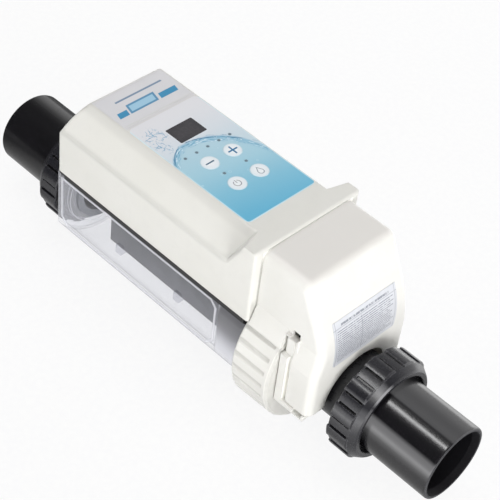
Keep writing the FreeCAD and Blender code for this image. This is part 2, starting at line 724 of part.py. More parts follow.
def power_inlet():
    """Connector body, flange and hollow socket with two pins."""
    x, z = CONNECTOR_X, CONNECTOR_Z
    inlet = cyl_y(x, z, 44.0, 54.0, 8.0)
    inlet = inlet.fuse(cyl_y(x, z, 51.02, 53.52, 10.5))
    inlet = inlet.fuse(cyl_y(x, z, 53.0, 61.0, 7.0))
    inlet = inlet.cut(cyl_y(x, z, 55.0, 62.0, 5.4))
    inlet = fuse_each(inlet, [cyl_y(x, z + dz, 54.5, 60.0, 0.9) for dz in (-2.2, 2.2)])
    return inlet.removeSplitter()


def wire(points, radius):
    """Round wire through the points, with a ball at each bend."""
    bends = [Vector(*point) for point in points]
    runs = [Part.makeCylinder(radius, (end - start).Length, start, end - start)
            for start, end in zip(bends, bends[1:])]
    joined = fuse_each(runs[0], runs[1:])
    return fuse_each(joined, [Part.makeSphere(radius, bend) for bend in bends[1:-1]])


def cell_leads():
    leads = []
    drop_x = sum(LUG_X) / 2
    for side, (y, z) in zip(SIDES, STUDS):
        run_y = side * 8
        lead = wire([(SUPPLY_RIGHT + 0.05, run_y, 66), (30, run_y, 66), (56, run_y, 85),
                     (90, run_y, 85), (drop_x, run_y, 68), (drop_x, y, 48)], LEAD_R)
        lug = cyl_x(*LUG_X, 5.2, y, z).fuse(box(*LUG_X, y - 2.4, y + 2.4, z + 3, 50))
        lead = lead.fuse(lug.cut(cyl_x(100, 112, STUD_BORE, y, z)))
        # keep clear of the nuts on both faces of the lug, and of the stud
        lead = lead.cut(cyl_x(100, LUG_X[0] - 0.05, 6.0, y, z))
        lead = lead.cut(cyl_x(LUG_X[1] + 0.05, 115, 6.0, y, z))
        lead = lead.cut(cyl_x(100, 120, STUD_BORE, y, z))
        leads.append(lead.removeSplitter())
    return Part.makeCompound(leads)


# ---------------------------------------------------------------- end cover
HOOD_LEFT = 72.55
HOOD_STEP = 103.3            # step between the wide part and the outlet part
HOOD_FRONT = 135.0           # upright end face
HOOD_TOP = 110.0
HOOD_BOTTOM = 0.0
HOOD_HALF = 44.0
HOOD_LOW_HALF = 48.5
HOOD_WALL = 2.6
NOTCH_R = 32.0
# (x, z) points of the end face
FACE_FOOT = (HOOD_FRONT, 49.0)  # where the upright end face starts to lean back
FACE_MID = (131.9, 69.0)
FACE_TOP = (124.4, 84.6)
FACE_HEAD = (112.2, 110.2)


def hood_profile(off, y0, y1, low):
    """Side outline of the hood: upright, an arc, then a straight lean."""
    lean_x, lean_z = FACE_HEAD[0] - FACE_TOP[0], FACE_HEAD[1] - FACE_TOP[1]
    lean = math.hypot(lean_x, lean_z)
    foot = (FACE_FOOT[0] - off, FACE_FOOT[1])
    # the leaning part moves along its inward normal
    top = (FACE_TOP[0] - lean_z / lean * off, FACE_TOP[1] + lean_x / lean * off)
    # the arc's middle moves toward the middle of its chord
    chord_x = (FACE_FOOT[0] + FACE_TOP[0]) / 2 - FACE_MID[0]
    chord_z = (FACE_FOOT[1] + FACE_TOP[1]) / 2 - FACE_MID[1]
    sag = math.hypot(chord_x, chord_z)
    bow = (FACE_MID[0] + chord_x / sag * off, FACE_MID[1] + chord_z / sag * off)
    head_z = HOOD_TOP - off if off > 0 else HOOD_TOP + 3
    head_x = top[0] + lean_x * (head_z - top[1]) / lean_z
    return bowed_prism([(60, low), (foot[0], low), foot, top, (head_x, head_z), (60, head_z)],
                       bow, y0, y1)


def hood_prism(outline, x0, x1, off):
    """Extrude a hood section and round its long top edges."""
    return round_edges(prism_x(outline, x0, x1), 8.0 - off,
                       lambda e: along_x(e) and e.CenterOfMass.z > HOOD_TOP - off - 0.1)


def hood_outlet_part(off, x0, x1):
    half, low_half, top = HOOD_HALF - off, HOOD_LOW_HALF - off, HOOD_TOP - off
    foot = -4 if off else HOOD_BOTTOM
    return hood_prism([(-low_half, foot), (-low_half, 38), (-half, 58), (-half, top),
                       (half, top), (half, 58), (low_half, 38), (low_half, foot)], x0, x1, off)


def hood_ring_part(off, x0, x1):
    """Part of the hood that stands over the lock ring, with its sloped brows."""
    half, top = HOOD_HALF - off, HOOD_TOP - off
    brow = 50.5 - off * 0.86
    brow_z = 62 - 0.3 * off
    low = 38 if off else 46
    return hood_prism([(-half, brow_z), (-half, top), (half, top), (half, brow_z),
                       (brow, 46), (brow, low), (-brow, low), (-brow, 46)], x0, x1, off)


def end_cover():
    shell = hood_outlet_part(0.0, HOOD_STEP, HOOD_FRONT + 5)
    shell = shell.common(hood_profile(0.0, -60, 60, -5))
    shell = round_edges(shell, 6.0, lambda e: e.BoundBox.ZMin > 100
                        and e.BoundBox.YLength > 50 and e.BoundBox.XMin > HOOD_STEP + 1)
    shell = round_edges(shell, 6.5, lambda e: e.BoundBox.XMin > 110
                        and abs(e.CenterOfMass.y) > 41.5
                        and e.BoundBox.ZLength > 6 and e.BoundBox.XMax > 120)
    hood = shell.fuse(hood_ring_part(0.0, HOOD_LEFT, HOOD_STEP)).removeSplitter()
    room = hood_outlet_part(HOOD_WALL, HOOD_STEP + HOOD_WALL, HOOD_FRONT + 5)
    room = room.common(hood_profile(HOOD_WALL, -60, 60, -5))
    room = room.fuse(hood_ring_part(HOOD_WALL, HOOD_LEFT - 1, HOOD_STEP - 2.4))
    pad_y = HOOD_HALF - HOOD_WALL
    room = room.fuse(box(HOOD_STEP - 4, HOOD_STEP + 4, -pad_y, pad_y, -4, HOOD_TOP - 9))
    hood = hood.cut(room.removeSplitter())
    hood = hood.cut(cyl_x(60, HOOD_STEP - 0.02, RING_R + 0.45, 0, CELL_Z))
    # notch round the outlet neck, open downward
    hood = hood.cut(cyl_x(110, 150, NOTCH_R))
    # thick pads inside the latch channels, then the channels and windows
    hood = fuse_each(hood, [side_box(s, HOOD_STEP, 114.5, pad_y, 46.5, 0.0, 60.0)
                            for s in SIDES])
    for side in SIDES:
        hood = hood.cut(side_box(side, HOOD_STEP - 0.5, 112.6, HOOD_HALF, 60, -1, 58.0))
        hood = hood.cut(side_box(side, 107.0, 113.6, 38, 60, 58.5, 64.5))
    return hood


def rating_label():
    """Thin label bonded to the curved end face."""
    shell = hood_profile(-0.30, -31.5, 31.5, 0).cut(hood_profile(-0.04, -40, 40, -5))
    label = shell.common(box(100, 140, -32, 32, 41.0, 78.5))
    return round_edges(label, 2.5, lambda e: e.Length < 0.4 and e.BoundBox.YLength < 0.01)


def latch_tray():
    """Half collar under the outlet neck, with side arms and upright latches."""
    low, high = -4.5, -0.4
    tray = tube(104.0, 110.0, 33.5, 28.4).common(box(100, 120, -40, 40, -40, high))
    for side in SIDES:
        tray = fuse_each(tray, [side_box(side, *spans) for spans in (
            (104.0, 110.0, 28.6, 50.0, low, high),
            (109.0, 131.5, 36.0, 50.0, low, high),
            (103.9, 110.2, 44.08, 50.0, low, 43.0),
            (105.4, 112.2, 44.08, 46.6, 30.0, 57.7))])
    tray = cut_each(tray, [side_box(s, 121.5, 129.6, 45.5, 60.0, -3.0, 5) for s in SIDES])
    return tray.removeSplitter()


# ---------------------------------------------------------------- write
PIECES = (cell_housing, inlet_end_fitting, outlet_head, head_o_ring, union_o_rings, lock_ring,
          bus_bars, terminal_studs, plate_combs, terminal_nuts, control_base, base_screws,
          main_cover, cover_gasket, cover_screws, panel_overlay, title_label,
          display_window, display_module, indicator_leds, circuit_board, tact_switches,
          board_screws, power_supply, power_inlet, cell_leads, end_cover, rating_label,
          latch_tray)

parts = {build.__name__: build() for build in PIECES}
parts["outlet_tail_pipe"] = tail_pipe()
parts["inlet_tail_pipe"] = mirror_x(parts["outlet_tail_pipe"])
parts["outlet_union_nut"] = union_nut()
parts["inlet_union_nut"] = mirror_x(parts["outlet_union_nut"])
parts["anode_plates"] = plates(0, ANODE_BUS_X[0], 30, 39)
parts["cathode_plates"] = plates(1, CATHODE_BUS_X[0], 14, 22)
for name in BUTTONS:
    parts[name] = button(name)

# the socket's straight wall lies behind its lead-in
SOCKET_WALL = SOCKET_DEPTH - SOCKET_LEAD_IN
TO_INLET_SOCKET = Vector(HALF_LENGTH - SOCKET_LEAD_IN - SOCKET_WALL / 2, 0, 0)
os.makedirs("parts", exist_ok=True)
for name, shape in parts.items():
    shape.translated(TO_INLET_SOCKET).exportStep("parts/%s.step" % name)
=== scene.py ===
"""Looks, stage, camera and light for a salt-water cell with a control box on top.

The flow axis lies along x with the outlet at +x; z is up, and the front faces -y. Materials
work in drawing millimetres measured from the middle of the body along the flow axis.
"""
import math

import bpy
import numpy as np
from mathutils import Matrix, Vector


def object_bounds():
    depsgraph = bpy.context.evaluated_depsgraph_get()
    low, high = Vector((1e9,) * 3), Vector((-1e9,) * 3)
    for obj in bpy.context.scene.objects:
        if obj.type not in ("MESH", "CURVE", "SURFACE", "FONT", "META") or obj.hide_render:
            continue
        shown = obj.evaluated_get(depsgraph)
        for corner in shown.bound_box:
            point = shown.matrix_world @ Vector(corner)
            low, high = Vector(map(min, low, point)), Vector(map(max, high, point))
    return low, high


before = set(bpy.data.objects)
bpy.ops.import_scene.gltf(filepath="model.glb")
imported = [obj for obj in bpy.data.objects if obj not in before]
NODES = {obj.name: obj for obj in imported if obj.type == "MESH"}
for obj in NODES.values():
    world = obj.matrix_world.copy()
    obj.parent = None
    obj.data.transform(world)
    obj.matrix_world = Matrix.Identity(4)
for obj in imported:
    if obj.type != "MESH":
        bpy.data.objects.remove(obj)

CAD_LO, CAD_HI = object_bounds()
MIDDLE_X = (CAD_LO.x + CAD_HI.x) / 2.0  # middle of the body along the flow axis, metres
MM_PER_M = 1000.0

# Control panel layout, millimetres
KEYS = (  # name, (x, y) of the centre, sRGB ink of the icon
    ("minus", (-14.4, -11.1), (74, 104, 128)),
    ("plus", (-14.4, 11.1), (46, 116, 160)),
    ("power", (12.9, -10.8), (168, 170, 176)),
    ("mode", (12.9, 10.8), (158, 168, 178)),
)
LIGHT_PITCH = 10.8
INDICATORS = [(-28.3, LIGHT_PITCH * k) for k in range(-2, 3)] + [(-0.3, -10.6), (-0.3, 10.6)]

# ------------------------------------------------------------------ node helpers


def srgb(*channels):
    """sRGB 0-255 to a linear colour with alpha."""
    linear = []
    for value in channels:
        value = value / 255.0
        if value <= 0.04045:
            linear.append(value / 12.92)
        else:
            linear.append(((value + 0.055) / 1.055) ** 2.4)
    return (*linear, 1.0)


def scaled(colour, factor):
    return (*(min(1.0, channel * factor) for channel in colour[:3]), 1.0)


class Field:
    """A node output; arithmetic on it adds Math nodes, nested as the brackets show."""

    def __init__(self, net, socket):
        self.net = net
        self.socket = socket

    def __add__(self, other):
        return self.net.op("ADD", self, other)

    def __radd__(self, other):
        return self.net.op("ADD", other, self)

    def __sub__(self, other):
        return self.net.op("SUBTRACT", self, other)

    def __rsub__(self, other):
        return self.net.op("SUBTRACT", other, self)

    def __mul__(self, other):
        return self.net.op("MULTIPLY", self, other)

    def __truediv__(self, other):
        return self.net.op("DIVIDE", self, other)

    def __pow__(self, other):
        return self.net.op("POWER", self, other)

    def __abs__(self):
        return self.net.op("ABSOLUTE", self)


class Net:
    """Writes the node tree of a material or world as expressions."""

    def __init__(self, owner, output_kind="ShaderNodeOutputMaterial"):
        self.owner = owner
        owner.use_nodes = True
        self.tree = owner.node_tree
        self.tree.nodes.clear()
        self.output = self.tree.nodes.new(output_kind)
        self.millimetres = None
        self.axes = None

    def fields(self, kind, outputs, inputs=None, **settings):
        """Add a node and return the named outputs; inputs go by socket name or number."""
        node = self.tree.nodes.new(kind)
        for name, value in settings.items():
            setattr(node, name, value)
        for key, value in (inputs or {}).items():
            self.put(node.inputs[key], value)
        return [Field(self, node.outputs[name]) for name in outputs]

    def field(self, kind, output=0, inputs=None, **settings):
        return self.fields(kind, (output,), inputs, **settings)[0]

    def put(self, socket, value):
        if isinstance(value, Field):
            self.tree.links.new(value.socket, socket)
        else:
            socket.default_value = value

    def op(self, operation, *operands, clamp=False):
        return self.field("ShaderNodeMath", 0, dict(enumerate(operands)),
                          operation=operation, use_clamp=clamp)

    def most(self, first, second):
        return self.op("MAXIMUM", first, second)

    def distance(self, across, along):
        return self.op("SQRT", across ** 2.0 + along ** 2.0)

    def paint(self, under, over, mask):
        """Colour that is `under` where the mask is 0 and `over` where it is 1."""
        return self.field("ShaderNodeMix", 2, {"Factor": mask, 6: under, 7: over},
                          data_type="RGBA")

    def lerp(self, factor, low, high):
        return self.field("ShaderNodeMix", 0, {"Factor": factor, 2: low, 3: high},
                          data_type="FLOAT")

    def fade(self, value, start, end, low=0.0, high=1.0):
        """Smooth step from `low` at `start` to `high` at `end`; start may exceed end."""
        return self.field("ShaderNodeMapRange", 0,
                          {0: value, 1: start, 2: end, 3: low, 4: high},
                          interpolation_type="SMOOTHSTEP")

    def ramp(self, factor, stops):
        node = self.tree.nodes.new("ShaderNodeValToRGB")
        elements = node.color_ramp.elements
        while len(elements) < len(stops):
            elements.new(0.5)
        for i, (position, colour) in enumerate(stops):
            elements[i].position = position
            elements[i].color = colour
        self.put(node.inputs[0], factor)
        return Field(self, node.outputs[0])

    def split(self, vector):
        return self.fields("ShaderNodeSeparateXYZ", (0, 1, 2), {0: vector})

    def place(self):
        """Position vector in millimetres from the middle of the body."""
        if self.millimetres is None:
            drawn = self.field("ShaderNodeTexCoord", "Object")
            centred = self.field("ShaderNodeVectorMath", 0, {0: drawn, 1: (MIDDLE_X, 0, 0)},
                                 operation="SUBTRACT")
            self.millimetres = self.field("ShaderNodeVectorMath", 0,
                                          {0: centred, "Scale": MM_PER_M}, operation="SCALE")
        return self.millimetres

    def xyz(self):
        if self.axes is None:
            self.axes = self.split(self.place())
        return self.axes

    def facing(self):
        """x, y and z of the surface normal."""
        return self.split(self.field("ShaderNodeNewGeometry", "Normal"))

    def stretch(self, x, y, z):
        return self.field("ShaderNodeVectorMath", 0, {0: self.place(), 1: (x, y, z)},
                          operation="MULTIPLY")

    def noise(self, scale, detail=3.0, rough=0.5, vector=None, output="Fac"):
        inputs = {"Vector": vector or self.place(), "Scale": scale, "Detail": detail,
                  "Roughness": rough}
        return self.field("ShaderNodeTexNoise", output, inputs)

    def cells(self, scale, vector=None, feature="F1"):
        return self.field("ShaderNodeTexVoronoi", "Distance",
                          {"Vector": vector or self.place(), "Scale": scale}, feature=feature)

    def rounded(self, radius_mm):
        """Normal that rounds the edges."""
        return self.field("ShaderNodeBevel", 0, {"Radius": radius_mm / MM_PER_M}, samples=4)

    def rounded_edges(self, radius_mm):
        """The rounded normal, and a mask of the edges where it leaves the true one."""
        normal = self.rounded(radius_mm)
        true_normal = self.field("ShaderNodeNewGeometry", "Normal")
        agreement = self.field("ShaderNodeVectorMath", "Value", {0: normal, 1: true_normal},
                               operation="DOT_PRODUCT")
        return normal, self.fade(agreement, 0.995, 0.80)

    def bump(self, height, strength, depth_mm, normal=None):
        inputs = {"Strength": strength, "Distance": depth_mm / MM_PER_M, "Height": height}
        if normal is not None:
            inputs["Normal"] = normal
        return self.field("ShaderNodeBump", 0, inputs)

    def join(self, factor, first, second):
        """Mix of two shaders."""
        return self.field("ShaderNodeMixShader", 0, {0: factor, 1: first, 2: second})

    def principled(self, **inputs):
        """Principled shader; base_color stands for the socket Base Color, and so on."""
        sockets = {"IOR" if name == "ior" else name.replace("_", " ").title(): value
                   for name, value in inputs.items()}
        return self.field("ShaderNodeBsdfPrincipled", 0, sockets)

    def finish(self, shader):
        self.put(self.output.inputs["Surface"], shader)
        return self.owner

    def surface(self, **inputs):
        return self.finish(self.principled(**inputs))


def material(name):
    return Net(bpy.data.materials.new(name))


# ------------------------------------------------------------------ shared mouldings
# Emission colour of painted light: joints, slots and flanks glow in place of light bounced between
# white walls, and the cover's outlet slope glows in place of light from that side.
PAINTED_LIGHT_COLOUR = srgb(226, 225, 219)  # light bounced about between white walls


def moulded_surface(net, normal, colour, mid, roughness, grain, grain_depth, wave_depth,
                    **glow):
    """Injection-moulded skin: spark-eroded grain over slow sink waves; `glow` passes on the emission
    of painted light.
    """
    fine = net.noise(scale=grain, detail=2.0, rough=0.7)
    grained = net.bump(fine, strength=0.6, depth_mm=grain_depth, normal=normal)
    waves = net.noise(scale=0.035, detail=1.0)
    return net.surface(
        base_color=colour, roughness=roughness + (mid - 0.5) * 0.12, ior=1.5,
        normal=net.bump(waves, strength=1.0, depth_mm=wave_depth, normal=grained), **glow)


def drifting(net, big_scale, mid, main, patch, speck, speck_most=0.4):
    """Main colour drifting to `patch` over large areas and `speck` over small ones."""
    big = net.noise(scale=big_scale, detail=2.0)
    colour = net.paint(main, patch, net.fade(big, 0.3, 0.7))
    return net.paint(colour, speck, net.fade(mid, 0.45, 0.8, 0.0, speck_most))


def plastic(name, colour, roughness, grain, grain_depth, edge, edge_radius):
    """Moulded plastic; `edge` is how much brighter the edges are."""
    net = material(name)
    normal, edges = net.rounded_edges(edge_radius)
    mid = net.noise(scale=0.11, detail=4.0, rough=0.6)
    drift = 0.12
    skin = drifting(net, 0.018, mid, colour, scaled(colour, 1.0 - drift),
                    scaled(colour, 1.0 - 1.4 * drift), speck_most=0.5)
    skin = net.paint(skin, scaled(colour, edge), edges * 0.55)
    return moulded_surface(net, normal, skin, mid, roughness, grain, grain_depth,
                           wave_depth=0.05)


def metal(name, colour, roughness, brush=(0.05, 2.0, 2.0)):
    """Brushed metal; `brush` stretches the lines, longest along its smallest number."""
    net = material(name)
    normal, edges = net.rounded_edges(0.2)
    lines = net.noise(scale=1.0, detail=3.0, rough=0.6, vector=net.stretch(*brush))
    spots = net.noise(scale=0.30, detail=4.0, rough=0.6)
    skin = net.paint(colour, scaled(colour, 0.88), net.fade(spots, 0.35, 0.75))
    skin = net.paint(skin, scaled(colour, 1.15), edges)
    return net.surface(base_color=skin, metallic=1.0, roughness=roughness + (lines - 0.5) * 0.22,
                       normal=net.bump(lines, strength=0.5, depth_mm=0.004, normal=normal))


def rubber(name, colour):
    """Matt rubber with pale dust."""
    net = material(name)
    normal = net.rounded(0.25)
    dust = net.noise(scale=0.5, detail=5.0, rough=0.7)
    skin = net.paint(colour, scaled(colour, 2.2), net.fade(dust, 0.45, 0.8, 0.0, 0.6))
    grain = net.noise(scale=3.0, detail=2.0)
    return net.surface(base_color=skin, roughness=0.55 + dust * 0.2, sheen_weight=0.15,
                       normal=net.bump(grain, strength=0.5, depth_mm=0.02, normal=normal))


# ------------------------------------------------------------------ white mouldings
COVER_CREASE = (  # x, |y|, z along the crease on both sides of the cover
    (-131.0, 51.0, 86.6), (40.0, 51.0, 86.6), (43.4, 51.0, 87.6),
    (46.0, 51.0, 90.4), (57.0, 50.0, 107.5),
)


def polyline_mask(net, points, near, far):
    """1 within `near` of a line through the points, 0 beyond `far`; |y| serves both sides."""
    x, y, z = net.xyz()
    here = (x, abs(y), z)
    nearest = None
    for start, end in zip(points, points[1:]):
        run = [b - a for a, b in zip(start, end)]
        length_squared = sum(step ** 2 for step in run)
        from_start = [axis - a for axis, a in zip(here, start)]
        part_x, part_y, part_z = (
            offset * (step / length_squared) for offset, step in zip(from_start, run))
        along = net.op("ADD", part_x, part_y + part_z, clamp=True)
        off_x, off_y, off_z = (
            offset - along * step for offset, step in zip(from_start, run))
        gap = net.op("SQRT", off_x * off_x + (off_y * off_y + off_z * off_z))
        nearest = gap if nearest is None else net.op("MINIMUM", nearest, gap)
    return net.fade(nearest, far, near)


def cover_white():
    """Cover: painted shade in the crease and on the step, a greyer panel at the inlet end, painted
    light on the outlet slope and in the end joint.
    """
    net = material("abs_cover_white")
    normal = net.rounded(1.2)
    x, y, z = net.xyz()
    mid = net.noise(scale=0.11, detail=4.0, rough=0.6)
    colour = drifting(net, 0.018, mid, main=srgb(220, 219, 214), patch=srgb(217, 216, 210),
                      speck=srgb(213, 212, 207))
    # painted shade along the crease, fainter high up
    crease = polyline_mask(net, COVER_CREASE, near=0.4, far=4.8)
    crease = crease * net.fade(z, 111.0, 104.0, 0.25, 1.0)
    colour = net.paint(colour, srgb(188, 188, 183), crease * 0.44)
    inlet_panel = net.fade(z, 111.2, 111.45) * net.fade(x, -74.0, -78.5)
    colour = net.paint(colour, srgb(211, 210, 213), inlet_panel * 0.9)

    # painted light: the slope that faces the outlet end is painted lighter and glows a little
    normal_x, _, normal_z = net.facing()
    slope = ((net.fade(x, 34.0, 42.0) * net.fade(x, 64.0, 60.0))
             * (net.fade(normal_x, 0.15, 0.45) * (1.0 - crease * 0.5)))
    colour = net.paint(colour, srgb(238, 237, 231), slope)

    # painted shade: the upper edge turns slowly, so the strip beside the film is painted darker,
    # nearly as grey as the top
    side = abs(y)
    strip = ((net.fade(side, 42.0, 34.0) * net.fade(side, 32.9, 33.5))
             * (net.fade(z, 103.0, 107.0) * net.fade(x, 57.0, 49.0)))
    off_level = net.fade(normal_z, 0.9995, 0.985)
    strip = strip * net.lerp(net.fade(x, 45.0, 47.5), 1.0, off_level)
    colour = net.paint(colour, srgb(204, 203, 198), strip)

    # step beside the end cover: painted shade low down and darker painted shade in the joint
    step = net.fade(normal_x, 0.80, 0.97) * net.fade(x, 69.0, 70.5)
    colour = net.paint(colour, srgb(196, 195, 190), step * net.fade(z, 69.0, 62.0))
    openness = net.field("ShaderNodeAmbientOcclusion", "AO", {"Distance": 0.0022}, samples=6)
    joint = net.paint(srgb(138, 137, 133), srgb(180, 179, 174), net.fade(z, 94.0, 104.0))
    colour = net.paint(colour, joint, step * net.fade(openness, 0.90, 0.60))

    # painted light: the cover's faces in the gap to the end cover glow
    gap = (net.fade(x, 71.93, 71.99) * net.fade(side, 44.4, 43.4)) * 0.5
    return moulded_surface(net, normal, colour, mid, roughness=0.36, grain=1.3,
                           grain_depth=0.02, wave_depth=0.07, emission_color=PAINTED_LIGHT_COLOUR,
                           emission_strength=net.most(gap, slope * 0.11))


def rubbed_white(net, edges, mid, main):
    """White with the edges lightened by handling."""
    colour = drifting(net, 0.02, mid, main, patch=srgb(222, 221, 216),
                      speck=srgb(218, 217, 212))
    return net.paint(colour, srgb(234, 233, 229), edges * 0.4)


def end_cover_white():
    """End cover: a darker, warmer top painted as shade, and painted light glowing in the joint and in
    the side slots.
    """
    net = material("abs_end_cover_white")
    normal, edges = net.rounded_edges(1.0)
    x, y, z = net.xyz()
    mid = net.noise(scale=0.12, detail=4.0, rough=0.6)
    colour = rubbed_white(net, edges, mid, main=srgb(225, 224, 220))
    normal_x, _, normal_z = net.facing()
    # painted shade: faces turned upwards are painted darker and warmer
    top = net.fade(normal_z, 0.55, 0.95)
    colour = net.paint(colour, srgb(219, 216, 212), top * 0.8)
    # painted light: the face in the joint to the cover and the walls of the side slots glow
    gap = net.fade(x, 72.62, 72.56) * 0.55
    slot = net.fade(abs(normal_x), 0.7, 0.9) * net.fade(abs(y), 42.0, 43.5)
    slot = ((slot * net.fade(z, 56.0, 54.5))
            * (net.fade(x, 102.8, 103.2) * net.fade(x, 113.2, 112.8)))
    return moulded_surface(net, normal, colour, mid, roughness=0.40, grain=1.5,
                           grain_depth=0.022, wave_depth=0.06, emission_color=PAINTED_LIGHT_COLOUR,
                           emission_strength=net.most(gap, slot * 0.5))


def tray_white():
    """Tray: the flanks of its arms glow with painted light, in place of light from the channels."""
    net = material("abs_tray_white")
    normal, edges = net.rounded_edges(0.7)
    _, y, z = net.xyz()
    mid = net.noise(scale=0.12, detail=4.0, rough=0.6)
    colour = rubbed_white(net, edges, mid, main=srgb(226, 225, 221))
    normal_x, _, _ = net.facing()
    # painted light: the flanks of the arms glow
    flank = net.fade(abs(normal_x), 0.7, 0.9) * net.fade(abs(y), 40.0, 41.5)
    flank = flank * (net.fade(z, 55.0, 53.0) * net.fade(z, -3.0, 0.0))
    return moulded_surface(net, normal, colour, mid, roughness=0.40, grain=1.5,
                           grain_depth=0.022, wave_depth=0.05, emission_color=PAINTED_LIGHT_COLOUR,
                           emission_strength=flank * 0.10)


def ring_white():
    """Lock ring: painted shade in the grip flutes, which are also rougher, and the crests are rubbed
    smooth.
    """
    net = material("abs_ring_white")
    normal, edges = net.rounded_edges(0.8)
    _, y, z = net.xyz()
    ring_axis_z = 10.0
    flute = net.fade(net.distance(y, z - ring_axis_z), 59.2, 58.1)
    mid = net.noise(scale=0.12, detail=4.0, rough=0.6)
    fine = net.noise(scale=1.5, detail=2.0, rough=0.7)
    big = net.noise(scale=0.03, detail=2.0)
    colour = net.paint(srgb(225, 224, 220), srgb(221, 220, 215), net.fade(big, 0.3, 0.7))
    # painted shade in the flutes
    colour = net.paint(colour, srgb(192, 191, 186), flute * (0.42 + mid * 0.6))
    colour = net.paint(colour, srgb(232, 231, 224), edges * 0.5)
    return net.surface(base_color=colour, roughness=net.lerp(flute, 0.36, 0.50), ior=1.5,
                       normal=net.bump(fine, strength=0.6, depth_mm=0.02, normal=normal))


# ------------------------------------------------------------------ black mouldings
# Painted reflections: emission on the polished black parts that stands in for long studio cards
# mirrored in them.
CARD_START_X = 90.0                  # the studio cards show only on the outlet side of this
PAINTED_REFLECTION_COLOUR = (0.98, 0.98, 1.0, 1.0)
# degrees of the mirrored ray about the flow axis (0 up, 90 to the front), brightness of the painted
# reflection
PIPE_CARDS = (
    (-150, 0.0), (-95, 0.010), (-64, 0.036), (-48, 0.052), (-17, 0.067), (-9, 0.060),
    (-3, 0.0), (64, 0.0), (76, 0.150), (90, 0.175), (99, 0.165), (112, 0.06), (130, 0.018),
    (160, 0.0),
)
NUT_CARDS = (
    (-3, 0.0), (62, 0.0), (76, 0.080), (97, 0.095), (112, 0.05), (130, 0.02), (160, 0.0),
)


def mirrored_ray(net):
    return net.split(net.field("ShaderNodeTexCoord", "Reflection"))


def painted_card_reflection(net, ray, cards):
    """Painted reflection: emission that stands in for long studio cards as a polished black tube
    would mirror them.
    """
    _, ray_y, ray_z = ray
    angle = net.op("ARCTAN2", ray_y * -1.0, ray_z)
    turn = angle / (2.0 * math.pi) + 0.5
    stops = [(0.5 + degrees / 360.0, (bright, bright, bright, 1.0)) for degrees, bright in cards]
    x, _, _ = net.xyz()
    return net.ramp(turn, stops) * net.fade(x, CARD_START_X, CARD_START_X + 40.0)


def pipe_black():
    """Glossy extruded pipe: faint die lines, dull cut faces, rubbed edges, a dull bore, and painted
    reflections of studio cards.
    """
    net = material("pvc_pipe_black")
    normal, edges = net.rounded_edges(0.5)
    _, y, z = net.xyz()
    lines = net.noise(scale=1.0, detail=3.0, rough=0.6, vector=net.stretch(0.012, 0.9, 0.9))
    spots = net.noise(scale=0.22, detail=5.0, rough=0.65)
    normal_x, _, _ = net.facing()
    cut = net.fade(abs(normal_x), 0.75, 0.95)
    colour = net.paint(srgb(22, 21, 24), srgb(18, 18, 20), net.fade(spots, 0.35, 0.75))
    colour = net.paint(colour, srgb(96, 96, 100), edges * 0.8)
    colour = net.paint(colour, srgb(60, 60, 64), cut * 0.6)
    bore = net.fade(net.distance(y, z), 28.6, 27.6)
    roughness = net.lerp(cut, 0.19 + net.fade(spots, 0.3, 0.8) * 0.05, 0.45)
    # painted reflection of the studio cards, kept off the bore and the cut faces
    painted_reflection = painted_card_reflection(net, mirrored_ray(net), PIPE_CARDS)
    return net.surface(
        base_color=colour, roughness=net.lerp(bore, roughness, 0.55),
        normal=net.bump(lines, strength=0.10, depth_mm=0.008, normal=normal),
        ior=net.lerp(bore, 1.54, 1.25), coat_weight=net.lerp(bore, 0.15, 0.0),
        coat_roughness=0.12, emission_color=PAINTED_REFLECTION_COLOUR,
        emission_strength=(painted_reflection * (1.0 - bore)) * (1.0 - cut))


def nut_black():
    """Union nut: glossy crests, grey rubbed edges, painted shade between the grip pads, painted
    reflections of studio cards and a painted highlight.
    """
    net = material("pvc_nut_black")
    normal, edges = net.rounded_edges(0.55)
    x, y, z = net.xyz()
    mid = net.noise(scale=0.16, detail=4.0, rough=0.6)
    fine = net.noise(scale=1.1, detail=2.0, rough=0.7)
    colour = net.paint(srgb(36, 36, 40), srgb(30, 30, 34), net.fade(mid, 0.3, 0.75))
    # painted shade in the grooves between the grip pads, which also keeps the painted reflections out
    # of them
    deep = net.fade(net.distance(y, z), 40.25, 39.5) * net.fade(abs(x), 163.9, 163.5)
    colour = net.paint(colour, srgb(12, 12, 13), deep * 0.85)
    colour = net.paint(colour, srgb(112, 111, 116), (edges * (1.0 - deep)) * 0.75)
    ray = mirrored_ray(net)
    ray_x, ray_y, ray_z = ray
    # painted highlight: a round spot where a light on the outlet side, above, would be mirrored
    towards = ray_x * 0.868 + (ray_y * -0.05 + ray_z * 0.494)
    spot = net.fade(towards, 0.90, 0.995) * net.fade(x, 160.0, 164.0, 0.0, 0.34)
    return net.surface(
        base_color=colour, roughness=0.27 + (mid - 0.5) * 0.14, ior=1.54,
        normal=net.bump(fine, strength=0.4, depth_mm=0.02, normal=normal),
        emission_color=PAINTED_REFLECTION_COLOUR,
        emission_strength=(painted_card_reflection(net, ray, NUT_CARDS) + spot) * (1.0 - deep))


def fitting_black():
    """Inlet fitting: black outside; its inner face is dulled grey by scale and the glue fillet."""
    net = material("pvc_fitting_black")
    normal, edges = net.rounded_edges(0.4)
    x, _, _ = net.xyz()
    mid = net.noise(scale=0.2, detail=4.0, rough=0.6)
    fine = net.noise(scale=1.2, detail=2.0, rough=0.7)
    normal_x, _, _ = net.facing()
    wet = net.fade(x, -139.5, -138.0)
    inner_face = wet * net.fade(normal_x, 0.6, 0.9)
    colour = net.paint(srgb(34, 34, 37), srgb(28, 28, 31), net.fade(mid, 0.3, 0.75))
    colour = net.paint(colour, srgb(104, 106, 111), wet * 0.9)
    colour = net.paint(colour, srgb(146, 148, 154), inner_face * (0.6 + mid * 0.4))
    colour = net.paint(colour, srgb(120, 121, 126), edges * 0.6)
    return net.surface(base_color=colour, roughness=0.30 + wet * 0.2,
                       normal=net.bump(fine, strength=0.4, depth_mm=0.02, normal=normal))


# ------------------------------------------------------------------ the cell


